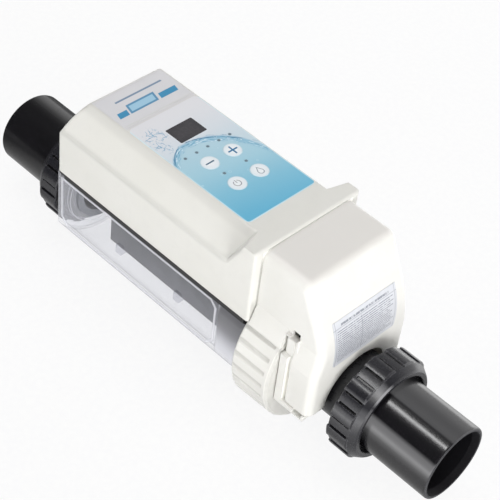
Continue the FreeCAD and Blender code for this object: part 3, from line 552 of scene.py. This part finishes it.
def clear_cell():
    """Clear moulded cell: see-through walls, bright edges and beads that glow with painted light,
    painted shade at the neck, flow waves and scuffs.
    """
    net = material("clear_cell_plastic")
    normal, edges = net.rounded_edges(1.1)
    x, y, z = net.xyz()
    flow = net.noise(scale=0.05, detail=2.0, rough=0.5)
    scuff = net.noise(scale=1.0, detail=4.0, rough=0.7, vector=net.stretch(0.10, 1.6, 1.6))
    wavy = net.bump(flow, strength=0.5, depth_mm=0.08, normal=normal)

    # haze: scuffs, edges, the bead round each side, the end wall and rings on that wall
    side = abs(y)
    bead = net.fade(side, 43.3, 44.1) * net.fade(side, 44.15, 44.6)
    end_wall = net.fade(x, -135.4, -136.6)
    radius = net.distance(y, z)
    ring_pitch = 7.5
    off_ring = abs(net.op("FRACT", radius / ring_pitch) - 0.5)
    rings = (end_wall * net.fade(off_ring, 0.10, 0.03)) * net.fade(radius, 39.0, 38.0)
    haze = 0.03 + net.fade(scuff, 0.62, 0.85) * 0.03
    for mask, amount in ((edges, 0.42), (bead, 0.66), (end_wall, 0.22), (rings, 0.60)):
        haze = net.most(haze, mask * amount)

    # wall tint: darker low down, clear at edges and at grazing angles, and black at the neck as
    # painted shade
    low = net.fade(z, -22.0, -34.0)
    lean = net.field("ShaderNodeLayerWeight", "Facing", {"Blend": 0.5})
    graze = net.fade(lean, 0.70, 0.97)
    thick = net.paint((0.80, 0.81, 0.84, 1.0), (0.52, 0.53, 0.57, 1.0), low)
    # here a mask of 1 gives the thick wall's tint
    wall = net.paint((0.972, 0.974, 0.982, 1.0), thick, net.most(edges, graze * (low * 0.9)))
    # painted shade: the neck under the control box is tinted black and made less hazy
    neck = net.fade(x, 37.0, 42.0) * net.fade(z, -8.0, 30.0)
    tint = net.paint(wall, (0.05, 0.05, 0.055, 1.0), neck)
    haze = haze * (1.0 - neck * 0.7)

    through = net.field("ShaderNodeBsdfTransparent", 0, {"Color": tint})
    milky = net.field("ShaderNodeBsdfDiffuse", 0, {"Color": srgb(238, 239, 244), "Normal": wavy})
    # painted light: part of the haze glows, more on the beads and edges
    painted_glow = net.field("ShaderNodeEmission", 0, {"Color": srgb(232, 232, 240)})
    body = net.join(net.lerp(net.most(bead, edges), 0.25, 0.60), milky, painted_glow)
    hazy = net.join(haze, through, body)
    shine = net.field("ShaderNodeBsdfGlossy", 0, {
        "Roughness": 0.07 + net.fade(scuff, 0.6, 0.85) * 0.12,
        "Color": (0.95, 0.95, 0.97, 1.0),
        "Normal": wavy,
    })
    tilt = net.field("ShaderNodeLayerWeight", "Facing", {"Blend": 0.5, "Normal": wavy})
    polish = 0.025 + (tilt ** 5.0) * net.lerp(low, 0.7, 0.3)
    seen = net.join(polish, hazy, shine)
    # shadow and diffuse rays pass almost freely
    plain = net.field("ShaderNodeBsdfTransparent", 0, {"Color": (0.97, 0.973, 0.98, 1.0)})
    shadow, diffuse = net.fields("ShaderNodeLightPath", ("Is Shadow Ray", "Is Diffuse Ray"))
    return net.finish(net.join(net.most(shadow, diffuse), seen, plain))


def plate(name, light, dark):
    """Matt, blotchy titanium plate with a light scale bloom towards the inlet end."""
    net = material(name)
    normal, edges = net.rounded_edges(0.2)
    x, _, z = net.xyz()
    blotch = net.noise(scale=0.10, detail=5.0, rough=0.65)
    bloom = net.fade(x, -70.0, -101.0) * net.noise(scale=0.25, detail=4.0)
    colour = net.paint(dark, light, net.fade(blotch, 0.30, 0.72))
    colour = net.paint(colour, srgb(150, 150, 152), bloom * 0.6)
    colour = net.paint(colour, srgb(150, 151, 156), net.fade(z, 12.0, -19.0, 0.0, 0.55))
    colour = net.paint(colour, srgb(84, 85, 88), net.fade(x, -20.0, -100.0, 0.0, 0.30))
    colour = net.paint(colour, srgb(150, 150, 155), edges * 0.7)
    grain = net.cells(1.3)
    return net.surface(base_color=colour, metallic=0.25, roughness=0.50 + blotch * 0.15,
                       normal=net.bump(grain, strength=0.3, depth_mm=0.012, normal=normal))


def comb_clear():
    """Natural nylon combs: milky, mostly see-through, with brighter slot edges."""
    net = material("comb_natural_nylon")
    normal, edges = net.rounded_edges(0.3)
    cloud = net.noise(scale=0.3, detail=3.0)
    _, _, z = net.xyz()
    clear = net.field("ShaderNodeBsdfTransparent", 0, {"Color": (0.90, 0.90, 0.92, 1.0)})
    milky = net.principled(
        base_color=net.paint(srgb(196, 197, 203), srgb(226, 227, 232), edges),
        roughness=0.30 + cloud * 0.2, normal=normal)
    milkiness = (net.fade(z, -20.6, -19.8, 0.45, 1.0)
                 * (0.10 + (cloud * 0.08 + edges * 0.14)))
    return net.finish(net.join(milkiness, clear, milky))


# ------------------------------------------------------------------ printed films
WAVE_MID = (20.0, -12.0)  # x, y of the middle of the printed wave
WAVE_STREAKS = (  # inset, wander, width (mm), ink, patchiness threshold, sRGB
    (0.1, 3.0, 0.55, 0.90, 0.40, (52, 112, 152)),
    (1.3, 6.0, 0.42, 0.85, 0.47, (60, 126, 166)),
    (2.8, 8.0, 0.60, 0.75, 0.46, (92, 158, 192)),
    (-0.8, 7.0, 0.35, 0.75, 0.52, (66, 130, 168)),
    (4.6, 9.0, 0.50, 0.60, 0.48, (104, 166, 198)),
    (2.0, 4.0, 0.42, 0.85, 0.50, (232, 243, 248)),
    (3.6, 7.0, 0.50, 0.70, 0.52, (222, 238, 246)),
)
SPRAY_MID = (-54.0, -23.0)  # x, y of the middle of the spray
SPRAY_DROPS = (  # cell scale, share of cells left out, size factor, sRGB
    (0.36, 0.46, 0.62, (112, 170, 200)),
    (0.62, 0.54, 0.60, (74, 138, 176)),
    (0.48, 0.62, 0.70, (236, 243, 248)),
)


def film_surface(net, colour, roughness):
    """Printed film: a very fine embossed grain and a slow change of gloss."""
    fine = net.noise(scale=1.6, detail=2.0, rough=0.6)
    slow = net.noise(scale=0.03, detail=1.0, rough=0.5)
    return net.surface(base_color=colour, roughness=roughness + slow * 0.05, ior=1.48,
                       normal=net.bump(fine, strength=0.25, depth_mm=0.006))


def random_cells(net, scale, vector, randomness=1.0):
    """Distance to the middle of each cell, and two random numbers per cell."""
    distance, colour = net.fields(
        "ShaderNodeTexVoronoi", ("Distance", "Color"),
        {"Vector": vector, "Scale": scale, "Randomness": randomness}, feature="F1")
    return distance, *net.fields("ShaderNodeSeparateColor", (0, 1), {0: colour})


def paint_crest(net, colour, depth, wavy_depth):
    """A soft band along the wave's crest, then thin streaks that wander along it."""
    x, _, _ = net.xyz()
    reach = net.fade(x, 30.0, -22.0)
    band = net.fade(wavy_depth, -1.6, 0.6) * net.fade(wavy_depth, 6.5, 1.0)
    colour = net.paint(colour, srgb(120, 176, 204), band * (reach * 0.62))
    for k, (inset, wander, width, ink, threshold, shade) in enumerate(WAVE_STREAKS):
        shift = (net.noise(scale=0.045 + 0.011 * k, detail=3.0, rough=0.55) - 0.5) * wander
        off_line = abs((depth + shift) - inset)
        patches = net.noise(scale=0.085 + 0.017 * k, detail=2.0, rough=0.5)
        drawn = net.fade(patches, threshold - 0.03, threshold + 0.05)
        line = net.fade(off_line, width, width * 0.25) * drawn
        colour = net.paint(colour, srgb(*shade), line * (reach * ink))
    return colour


def paint_spray(net, colour, inside):
    """Spray at the tail of the wave: bent threads and drops."""
    x, y, _ = net.xyz()
    reach = net.distance((x - SPRAY_MID[0]) / 18.0, (y - SPRAY_MID[1]) / 10.5)
    zone = net.fade(reach, 1.0, 0.55) * (1.0 - inside)
    swirl = net.noise(scale=0.16, detail=2.0, output="Color")
    bent = net.field("ShaderNodeVectorMath", 0, {0: swirl, 1: (9.0, 9.0, 0.0), 2: net.place()},
                     operation="MULTIPLY_ADD")
    web = net.cells(0.20, bent, feature="DISTANCE_TO_EDGE")
    drawn = net.fade(net.noise(scale=0.14, detail=2.0, rough=0.5), 0.43, 0.50)
    threads = net.fade(web, 0.085, 0.02) * drawn
    colour = net.paint(colour, srgb(86, 150, 186), threads * (zone * 0.80))
    for scale, left_out, size_factor, shade in SPRAY_DROPS:
        distance, pick, _ = random_cells(net, scale, net.stretch(1.0, 1.0, 0.0), randomness=0.95)
        size = (pick - left_out) * size_factor
        drop = net.fade(distance - size, 0.03, -0.04)
        colour = net.paint(colour, srgb(*shade), (drop * zone) * 0.78)
    return colour


def panel_film():
    """Keypad film: grey at the display, blue at the outlet end, with a plain wave between."""
    net = material("printed_keypad_film")
    x, y, z = net.xyz()
    wobble = (net.noise(scale=0.055, detail=3.0, rough=0.6) - 0.5) * 5.0
    mid_x, mid_y = WAVE_MID
    off_mid = y - mid_y
    half_width = net.lerp(net.fade(y, mid_y - 4.0, mid_y + 4.0), 33.0, 49.5)
    reach = net.distance((x - mid_x) / 60.5, off_mid / half_width)
    depth = (1.0 - reach) * 55.0  # millimetres inside the wave
    wavy_depth = depth + wobble
    inside = net.fade(wavy_depth, -0.4, 0.6)
    grey = net.ramp(net.fade(x, -76.0, -10.0), (
        (0.0, srgb(222, 222, 226)), (0.55, srgb(212, 219, 226)), (1.0, srgb(196, 214, 224))))
    blue = net.ramp((x + 40.0) / 86.4 + y * -0.0022, (
        (0.0, srgb(184, 210, 222)), (0.40, srgb(163, 203, 219)),
        (0.70, srgb(130, 189, 213)), (1.0, srgb(102, 177, 208))))
    colour = net.paint(grey, blue, inside)
    colour = paint_crest(net, colour, depth, wavy_depth)
    colour = paint_spray(net, colour, inside)

    # a few pale rings inside the blue
    distance, _, pick = random_cells(net, 0.16, net.place())
    rim = net.fade(abs(distance - 0.16), 0.05, 0.01)
    kept = net.fade(pick, 0.66, 0.70) * net.fade(x, 16.0, -6.0)
    colour = net.paint(colour, srgb(212, 232, 240), (rim * kept) * (inside * 0.45))

    # pale discs under the keys and small grey seats under the lights
    for _, (key_x, key_y), _ in KEYS:
        disc = net.fade(net.distance(x - key_x, y - key_y), 7.7, 7.0)
        colour = net.paint(colour, srgb(222, 236, 242), disc * 0.25)
    for light_x, light_y in INDICATORS:
        seat = net.fade(net.distance(x - light_x, y - light_y), 1.75, 1.35)
        colour = net.paint(colour, srgb(128, 152, 166), seat * 0.45)

    border = net.most(net.fade(abs(y), 32.2, 32.9),
                      net.most(net.fade(x, 45.4, 46.2), net.fade(z, 111.77, 111.70)))
    colour = net.paint(colour, srgb(206, 228, 236), border * 0.75)
    return film_surface(net, colour, roughness=0.30)


def title_film():
    """Film at the inlet end: plain blue bands and a block."""
    net = material("printed_band_film")
    x, y, _ = net.xyz()
    soft = 0.2

    def between(value, low, high):
        return (net.fade(value, low - soft, low + soft)
                * net.fade(value, high + soft, high - soft))

    def bar(x_range, y_range, skew=0.25):
        """Mask of a bar whose y shifts with x by the skew."""
        skewed = y + (x - sum(x_range) / 2) * skew
        return between(x, *x_range) * between(skewed, *y_range)

    big = net.noise(scale=0.04, detail=2.0)
    colour = net.paint(srgb(211, 211, 214), srgb(215, 214, 217), net.fade(big, 0.3, 0.7))
    colour = net.paint(colour, srgb(208, 208, 208), net.fade(x, -81.5, -79.5))
    long_band = bar(x_range=(-105.6, -103.9), y_range=(-20.0, 24.5), skew=0.0)
    colour = net.paint(colour, srgb(92, 126, 158), long_band * 0.85)
    block = bar(x_range=(-98.4, -88.6), y_range=(-17.0, 9.5))
    colour = net.paint(colour, srgb(58, 134, 176), block * 0.9)
    block_middle = bar(x_range=(-96.6, -90.4), y_range=(-15.2, 7.7))
    colour = net.paint(colour, srgb(168, 206, 226), block_middle * 0.85)
    for y_range in ((11.5, 28.0), (-28.0, -19.0)):
        colour = net.paint(colour, srgb(66, 142, 182),
                           bar(x_range=(-94.4, -88.6), y_range=y_range))
    return film_surface(net, colour, roughness=0.28)


def rating_film():
    """Silver label with a plain ruled table, no lettering."""
    net = material("printed_rating_label")
    _, y, z = net.xyz()
    first_row_z = 41.0
    row_pitch = 1.72
    colour = net.paint(srgb(209, 211, 216), srgb(202, 204, 210),
                       net.fade(net.noise(scale=0.2, detail=4.0), 0.3, 0.7))
    in_row = net.op("FRACT", (z - first_row_z) / row_pitch)
    rule = net.fade(abs(in_row - 0.5), 0.26, 0.12)
    table = (net.fade(abs(y), 28.6, 28.2)
             * (net.fade(z, 43.6, 43.9) * net.fade(z, 72.4, 72.1)))

    # uneven lengths so that the rows read as filled lines
    row = net.op("FLOOR", (z - first_row_z) / row_pitch)
    jitter = net.field("ShaderNodeTexWhiteNoise", 0, {"W": row}, noise_dimensions="1D")
    row_end = 21.0 + jitter * 8.0
    soft = 0.3
    filled = net.fade(y, row_end + soft, row_end + -soft)
    words = net.noise(scale=1.0, detail=2.0, rough=0.5, vector=net.stretch(0.2, 0.9, 0.3))
    density = net.fade(words, 0.36, 0.50, 0.30, 1.0)
    colour = net.paint(colour, srgb(96, 102, 118), (rule * table) * (filled * (density * 0.85)))

    heading = ((net.fade(z, 74.0, 74.3) * net.fade(z, 75.9, 75.6))
               * net.fade(abs(y), 24.2, 23.8))
    words = net.noise(scale=1.0, detail=2.0, rough=0.5, vector=net.stretch(0.2, 0.75, 0.3))
    heading = heading * net.fade(words, 0.40, 0.50, 0.25, 1.0)
    colour = net.paint(colour, srgb(92, 98, 112), heading * 0.75)

    divider_y = -4.0
    divider = net.fade(abs(y - divider_y), 0.35, 0.12) * table
    colour = net.paint(colour, srgb(120, 126, 136), divider * 0.7)
    side_lines = net.fade(abs(abs(y) - 29.6), 0.4, 0.15)
    heading_line = net.fade(abs(z - 73.2), 0.4, 0.15)
    colour = net.paint(colour, srgb(130, 135, 144), net.most(side_lines, heading_line) * 0.6)
    peel = net.noise(scale=1.2, detail=3.0, rough=0.6)
    return net.surface(
        base_color=colour, roughness=0.34 + peel * 0.1, metallic=0.15,
        normal=net.bump(peel, strength=0.3, depth_mm=0.01, normal=net.rounded(0.1)),
        coat_weight=0.15, coat_roughness=0.2)


# ------------------------------------------------------------------ display and keys
DIGIT_X = -50.7
DIGIT_PITCH = 7.2   # three digits side by side along y
SEGMENT_STEP = 1.9  # half a cell of the figure of eight
SEGMENTS = (  # steps in x, steps in y, half sizes in x and y
    (0, 0, 0.35, 1.5), (2, 0, 0.35, 1.5), (-2, 0, 0.35, 1.5),
    (1, 1, 1.5, 0.35), (1, -1, 1.5, 0.35), (-1, 1, 1.5, 0.35), (-1, -1, 1.5, 0.35),
)


def display_window():
    """Smoked window with three faint unlit figures of eight behind it."""
    net = material("smoked_display_window")
    x, y, _ = net.xyz()
    smear = net.noise(scale=0.12, detail=4.0, rough=0.6)
    colour = net.paint(srgb(66, 64, 68), srgb(58, 57, 61), net.fade(smear, 0.3, 0.7))
    figures = None
    for k in range(3):
        digit_y = -DIGIT_PITCH + DIGIT_PITCH * k
        for steps_x, steps_y, half_x, half_y in SEGMENTS:
            off_x = abs(x - (DIGIT_X + steps_x * SEGMENT_STEP))
            off_y = abs(y - (digit_y + steps_y * SEGMENT_STEP))
            segment = (net.fade(off_x, half_x + 0.15, half_x - 0.05)
                       * net.fade(off_y, half_y + 0.15, half_y - 0.05))
            figures = segment if figures is None else net.most(figures, segment)
    colour = net.paint(colour, srgb(104, 100, 104), figures * 0.07)
    return net.surface(base_color=colour, roughness=0.10 + smear * 0.06, ior=1.5,
                       normal=net.rounded(0.2), coat_weight=0.3, coat_roughness=0.05)


def key(name, centre, ink_colour):
    """White key; the engraved icon is filled with ink."""
    net = material(name)
    normal = net.rounded(0.3)
    x, y, z = net.xyz()
    radius = net.distance(x - centre[0], y - centre[1])
    ink = net.fade(z, 111.97, 111.93) * net.fade(radius, 5.9, 5.5)
    fine = net.noise(scale=1.4, detail=2.0, rough=0.6)
    colour = net.paint(srgb(236, 240, 243), srgb(226, 233, 238), net.fade(radius, 2.0, 6.6))
    # painted shade on the chamfered rim, tinted towards the film's blue
    colour = net.paint(colour, srgb(190, 213, 225), net.fade(radius, 6.1, 6.7) * 0.55)
    colour = net.paint(colour, ink_colour, ink)
    colour = net.paint(colour, srgb(190, 200, 208), net.noise(scale=0.3, detail=3.0) * 0.06)
    return net.surface(base_color=colour, roughness=net.lerp(ink, 0.34, 0.6),
                       normal=net.bump(fine, strength=0.4, depth_mm=0.012, normal=normal),
                       coat_weight=0.1, coat_roughness=0.2)


def led_lens():
    """Blue-grey lenses, paler low down."""
    net = material("led_lens")
    _, _, z = net.xyz()
    cloud = net.noise(scale=0.8, detail=3.0)
    colour = net.paint(srgb(126, 146, 158), srgb(116, 136, 149), net.fade(cloud, 0.3, 0.7))
    colour = net.paint(colour, srgb(220, 226, 230), net.fade(z, 110.5, 105.0))
    return net.surface(base_color=colour, roughness=0.18, normal=net.rounded(0.25),
                       coat_weight=0.5, coat_roughness=0.05, transmission_weight=0.15)


# ------------------------------------------------------------------ electrics


def board_green():
    """Green circuit board with plain copper tracks under the mask."""
    net = material("circuit_board_green")
    normal, edges = net.rounded_edges(0.2)
    track = net.field("ShaderNodeTexBrick", "Fac", {
        "Vector": net.place(), "Scale": 0.16, "Mortar Size": 0.05, "Brick Width": 0.9,
        "Row Height": 0.35,
    })
    pads = net.fade(net.cells(0.35), 0.22, 0.16)
    colour = net.paint(srgb(24, 92, 56), srgb(44, 124, 76), track)
    colour = net.paint(colour, srgb(196, 190, 170), pads * 0.8)
    colour = net.paint(colour, srgb(150, 150, 110), edges * 0.6)
    return net.surface(base_color=colour, roughness=0.32, coat_weight=0.4, coat_roughness=0.15,
                       normal=net.bump(track, strength=0.4, depth_mm=0.03, normal=normal))


def display_body():
    """Display module: pale below, dark on top."""
    net = material("display_module_body")
    _, _, z = net.xyz()
    fine = net.noise(scale=1.2, detail=3.0)
    colour = net.paint(srgb(226, 226, 222), srgb(48, 46, 50), net.fade(z, 106.6, 106.9))
    colour = net.paint(colour, srgb(120, 120, 120), fine * 0.15)
    grained = net.bump(fine, strength=0.4, depth_mm=0.02, normal=net.rounded(0.3))
    return net.surface(base_color=colour, roughness=0.4, normal=grained)


def switch_body():
    """Switches: black body, steel lid and black knob, one above the other."""
    net = material("switch_body_black_steel")
    _, _, z = net.xyz()
    fine = net.noise(scale=1.6, detail=3.0)
    lid = net.fade(z, 102.0, 102.2)
    knob = net.fade(z, 102.7, 102.8)
    colour = net.paint(srgb(30, 30, 32), srgb(180, 180, 182), lid)
    colour = net.paint(colour, srgb(34, 34, 36), knob)
    colour = net.paint(colour, srgb(70, 70, 72), fine * 0.2)
    grained = net.bump(fine, strength=0.4, depth_mm=0.015, normal=net.rounded(0.2))
    return net.surface(base_color=colour, metallic=net.op("SUBTRACT", lid, knob, clamp=True),
                       roughness=0.36, normal=grained)


def supply_block():
    """Potted supply: a black tub with a slightly wavy resin top."""
    net = material("potted_supply_block")
    normal, edges = net.rounded_edges(0.5)
    _, _, z = net.xyz()
    resin_z = (76.6, 77.4)
    ripple = net.noise(scale=0.08, detail=3.0, rough=0.5)
    colour = net.paint(srgb(40, 40, 43), srgb(30, 31, 35), net.fade(z, *resin_z))
    colour = net.paint(colour, srgb(62, 62, 66), ripple * 0.3)
    colour = net.paint(colour, srgb(90, 90, 94), edges * 0.6)
    return net.surface(base_color=colour, roughness=net.lerp(net.fade(z, *resin_z), 0.5, 0.2),
                       normal=net.bump(ripple, strength=0.7, depth_mm=0.2, normal=normal))


def leads():
    """Two insulated leads, black at -y and red at +y, with tinned ring lugs."""
    net = material("insulated_leads")
    x, y, z = net.xyz()
    lug = (net.fade(x, 107.4, 107.55) * net.fade(x, 109.2, 109.05)) * net.fade(z, 50.2, 50.0)
    fine = net.noise(scale=1.2, detail=3.0)
    wire = net.paint(srgb(28, 28, 30), srgb(168, 34, 30), net.fade(y, -0.5, 0.5))
    wire = net.paint(wire, srgb(96, 70, 70), fine * 0.25)
    grained = net.bump(fine, strength=0.5, depth_mm=0.03, normal=net.rounded(0.2))
    return net.surface(base_color=net.paint(wire, srgb(190, 186, 178), lug), metallic=lug,
                       roughness=net.lerp(lug, 0.42, 0.3), normal=grained)


# ------------------------------------------------------------------ dressing the pieces


def dress(look, *names):
    for name in names:
        materials = NODES[name].data.materials
        materials.clear()
        materials.append(look)


dress(cover_white(), "main_cover")
dress(end_cover_white(), "end_cover")
dress(tray_white(), "latch_tray")
dress(ring_white(), "lock_ring")
dress(pipe_black(), "outlet_tail_pipe", "inlet_tail_pipe")
dress(nut_black(), "outlet_union_nut", "inlet_union_nut")
dress(plastic("pvc_head_black", srgb(34, 34, 37), roughness=0.28, grain=1.2,
              grain_depth=0.024, edge=2.0, edge_radius=0.4), "outlet_head")
dress(fitting_black(), "inlet_end_fitting")
dress(plastic("abs_base_black", srgb(21, 20, 23), roughness=0.36, grain=1.6,
              grain_depth=0.04, edge=1.6, edge_radius=0.3), "control_base")
dress(plastic("abs_connector_black", srgb(28, 28, 30), roughness=0.34, grain=2.0,
              grain_depth=0.02, edge=2.4, edge_radius=0.3), "power_inlet")
dress(rubber("seal_rubber_black", srgb(26, 26, 27)), "head_o_ring", "union_o_rings")
dress(rubber("gasket_silicone_grey", srgb(58, 58, 60)), "cover_gasket")
dress(clear_cell(), "cell_housing")
dress(plate("oxide_coated_titanium", light=srgb(104, 105, 109), dark=srgb(78, 79, 83)),
      "anode_plates")
dress(plate("bare_titanium_sheet", light=srgb(150, 149, 150), dark=srgb(118, 117, 119)),
      "cathode_plates")
dress(metal("titanium_bar", srgb(158, 156, 156), roughness=0.38), "bus_bars")
dress(metal("titanium_stud", srgb(166, 164, 163), roughness=0.30, brush=(3.0, 0.2, 0.2)),
      "terminal_studs")
dress(metal("stainless_nut", srgb(196, 196, 198), roughness=0.26, brush=(0.3, 1.5, 1.5)),
      "terminal_nuts")
dress(metal("stainless_screw", srgb(190, 190, 192), roughness=0.28, brush=(1.5, 1.5, 0.3)),
      "base_screws", "cover_screws", "board_screws")
dress(comb_clear(), "plate_combs")
dress(panel_film(), "panel_overlay")
dress(title_film(), "title_label")
dress(rating_film(), "rating_label")
dress(display_window(), "display_window")
for key_name, key_centre, key_ink in KEYS:
    dress(key(f"key_film_{key_name}", key_centre, srgb(*key_ink)), f"button_{key_name}")
dress(led_lens(), "indicator_leds")
dress(board_green(), "circuit_board")
dress(display_body(), "display_module")
dress(switch_body(), "tact_switches")
dress(supply_block(), "power_supply")
dress(leads(), "cell_leads")


def smooth_piece(piece, sharp_degrees=32.0):
    """Smooth shading whose corner normals follow the large faces, so that flats stay flat."""
    piece.data.shade_smooth()
    piece.data.set_sharp_from_angle(angle=math.radians(sharp_degrees))
    # a twin carries the modifier, and only its normals are copied back
    twin = bpy.data.objects.new("normals_twin", piece.data.copy())
    bpy.context.scene.collection.objects.link(twin)
    weighted = twin.modifiers.new("weights", "WEIGHTED_NORMAL")
    weighted.mode = "FACE_AREA"
    weighted.weight = 50
    weighted.keep_sharp = True
    depsgraph = bpy.context.evaluated_depsgraph_get()
    depsgraph.update()
    mesh = twin.evaluated_get(depsgraph).to_mesh()
    corners = np.empty(len(mesh.loops) * 3, dtype=np.float32)
    mesh.corner_normals.foreach_get("vector", corners)
    twin.evaluated_get(depsgraph).to_mesh_clear()
    twin_mesh = twin.data
    bpy.data.objects.remove(twin)
    bpy.data.meshes.remove(twin_mesh)
    piece.data.normals_split_custom_set(corners.reshape(-1, 3).tolist())


for piece in NODES.values():
    smooth_piece(piece)

# ------------------------------------------------------------------ stage
FLOOR_GAP = 0.0004  # metres below the lowest point
WHITE = (1.0, 1.0, 1.0, 1.0)


def floor_paper():
    """Pale paper. Polished parts see it darker close by and bright further out."""
    net = material("stage_floor_paper")
    x, y, _ = net.xyz()
    fine = net.noise(scale=0.2, detail=3.0)
    camera, glossy = net.fields("ShaderNodeLightPath", ("Is Camera Ray", "Is Glossy Ray"))
    colour = net.paint(WHITE, (0.985, 0.985, 0.99, 1), net.fade(fine, 0.3, 0.7))
    dimmed = net.field("ShaderNodeVectorMath", 0,
                       {0: colour, "Scale": net.lerp(camera, 0.86, 0.98)}, operation="SCALE")
    diffuse = net.field("ShaderNodeBsdfDiffuse", 0, {"Color": dimmed})
    sideways = net.fade(abs(y), 70.0, 300.0, 0.55, 1.9)
    past_inlet = net.fade(x + MM_PER_M * MIDDLE_X, -330.0, -215.0, 0.12, 1.0)
    mirrored = net.field("ShaderNodeEmission", 0, {"Strength": sideways * past_inlet})
    paper = net.field("ShaderNodeEmission", 0, {"Color": colour, "Strength": 0.985})
    lit = net.join(camera * 0.90, diffuse, paper)
    top = net.join(glossy, lit, mirrored)
    # seen from underneath, the paper lets the view through to the underside
    backfacing = net.field("ShaderNodeNewGeometry", "Backfacing")
    see_through = net.field("ShaderNodeBsdfTransparent")
    return net.finish(net.join(backfacing * camera, top, see_through))


bpy.ops.mesh.primitive_plane_add(size=8.0, location=(MIDDLE_X, 0.0, CAD_LO.z - FLOOR_GAP))
floor = bpy.context.active_object
floor.name = "stage_floor"
floor.data.materials.append(floor_paper())

# ------------------------------------------------------------------ camera
CAMERA_AT = (0.5209 + MIDDLE_X, -0.5896, 0.7911)
CAMERA_LOOK = (-0.465, 0.5504, -0.6935)
CAMERA_ROLL = 7.475  # degrees


def add_camera():
    look = Vector(CAMERA_LOOK).normalized()
    level_right = look.cross(Vector((0, 0, 1))).normalized()
    level_up = level_right.cross(look).normalized()
    roll = math.radians(CAMERA_ROLL)
    right = level_right * math.cos(roll) + level_up * math.sin(roll)
    up = level_up * math.cos(roll) - level_right * math.sin(roll)
    data = bpy.data.cameras.new("camera")
    camera = bpy.data.objects.new("camera", data)
    bpy.context.scene.collection.objects.link(camera)
    turn = Matrix((right, up, -look)).transposed().to_4x4()
    camera.matrix_world = Matrix.Translation(Vector(CAMERA_AT)) @ turn
    data.sensor_fit = "HORIZONTAL"
    data.sensor_width = 36.0
    data.lens = 107.27
    data.clip_start = 0.01
    data.clip_end = 30.0
    bpy.context.scene.camera = camera


add_camera()

# ------------------------------------------------------------------ light
PLAIN = (1, 1, 1)
HIDDEN_FROM_DIFFUSE = "visible_diffuse"
HIDDEN_FROM_GLOSSY = "visible_glossy"
AREA_LIGHTS = (  # name, place, target (both from the middle of the body), size, watts, colour, hidden
    ("softbox_streak", (-0.28, -0.37, 1.27), (0.10, 0.0, 0.05), (0.62, 0.18), 4.3,
     PLAIN, HIDDEN_FROM_DIFFUSE),
    ("key_outlet_side", (1.38, -0.50, 1.05), (0.05, 0.0, 0.05), (0.7, 0.5), 6.0,
     (1.0, 0.995, 0.985), None),
    ("low_outlet_side", (1.60, -0.55, 0.35), (0.05, 0.0, 0.05), (0.9, 0.6), 17.5,
     PLAIN, HIDDEN_FROM_GLOSSY),
    ("front_fill", (0.1, -1.9, 0.35), (0.0, 0.0, 0.05), (1.8, 0.35), 15.0,
     PLAIN, HIDDEN_FROM_GLOSSY),
    ("inlet_fill", (-1.6, -0.6, 0.6), (0.0, 0.0, 0.05), (0.8, 0.8), 8.6,
     PLAIN, HIDDEN_FROM_GLOSSY),
    ("overhead", (0.0, 0.1, 1.7), (0.0, 0.0, 0.05), (1.4, 1.0), 13.0,
     PLAIN, HIDDEN_FROM_GLOSSY),
    ("rear_card", (-0.1, 1.7, 0.55), (0.0, 0.0, 0.05), (2.0, 0.6), 18.0,
     PLAIN, HIDDEN_FROM_GLOSSY),
)


def area_light(name, place, target, size, power, colour, hidden):
    """Rectangular light aimed at the target, its long side kept near the x axis."""
    data = bpy.data.lights.new(name, "AREA")
    data.shape = "RECTANGLE"
    data.size, data.size_y = size
    data.energy = power
    data.color = colour
    data.spread = math.radians(180.0)
    light = bpy.data.objects.new(name, data)
    bpy.context.scene.collection.objects.link(light)
    start = Vector((place[0] + MIDDLE_X, place[1], place[2]))
    end = Vector((target[0] + MIDDLE_X, target[1], target[2]))
    z = (start - end).normalized()
    x = Vector((1, 0, 0)) - z * z.x
    # a light that shines nearly along x takes its width from y instead
    x = x.normalized() if x.length > 0.2 else Vector((0, 1, 0)).cross(z).normalized()
    turn = Matrix((x, z.cross(x), z)).transposed().to_4x4()
    light.matrix_world = Matrix.Translation(start) @ turn
    if hidden:
        setattr(light, hidden, False)


for row in AREA_LIGHTS:
    area_light(*row)


def studio_world():
    """Dim room light; polished surfaces see a pale rear wall, dim ceiling and dark front."""
    world = bpy.data.worlds.new("studio")
    bpy.context.scene.world = world
    net = Net(world, "ShaderNodeOutputWorld")
    _, y, z = net.split(net.field("ShaderNodeTexCoord", "Generated"))

    def background(strength):
        return net.field("ShaderNodeBackground", 0, {"Color": WHITE, "Strength": strength})

    rear = net.fade(y, 0.05, 0.75) * net.fade(z, 0.75, 0.30, 0.30, 1.0)
    ceiling = net.fade(z, 0.75, 1.0, 0.04, 0.35)
    mirrored = background(rear * 0.95 + ceiling)
    room = background(0.14)
    behind = background(0.92)
    glossy, camera = net.fields("ShaderNodeLightPath", ("Is Glossy Ray", "Is Camera Ray"))
    net.finish(net.join(camera, net.join(glossy, room, mirrored), behind))


studio_world()

view = bpy.context.scene.view_settings
view.view_transform = "Standard"
view.look = "None"
view.exposure = 0.0
view.gamma = 1.0
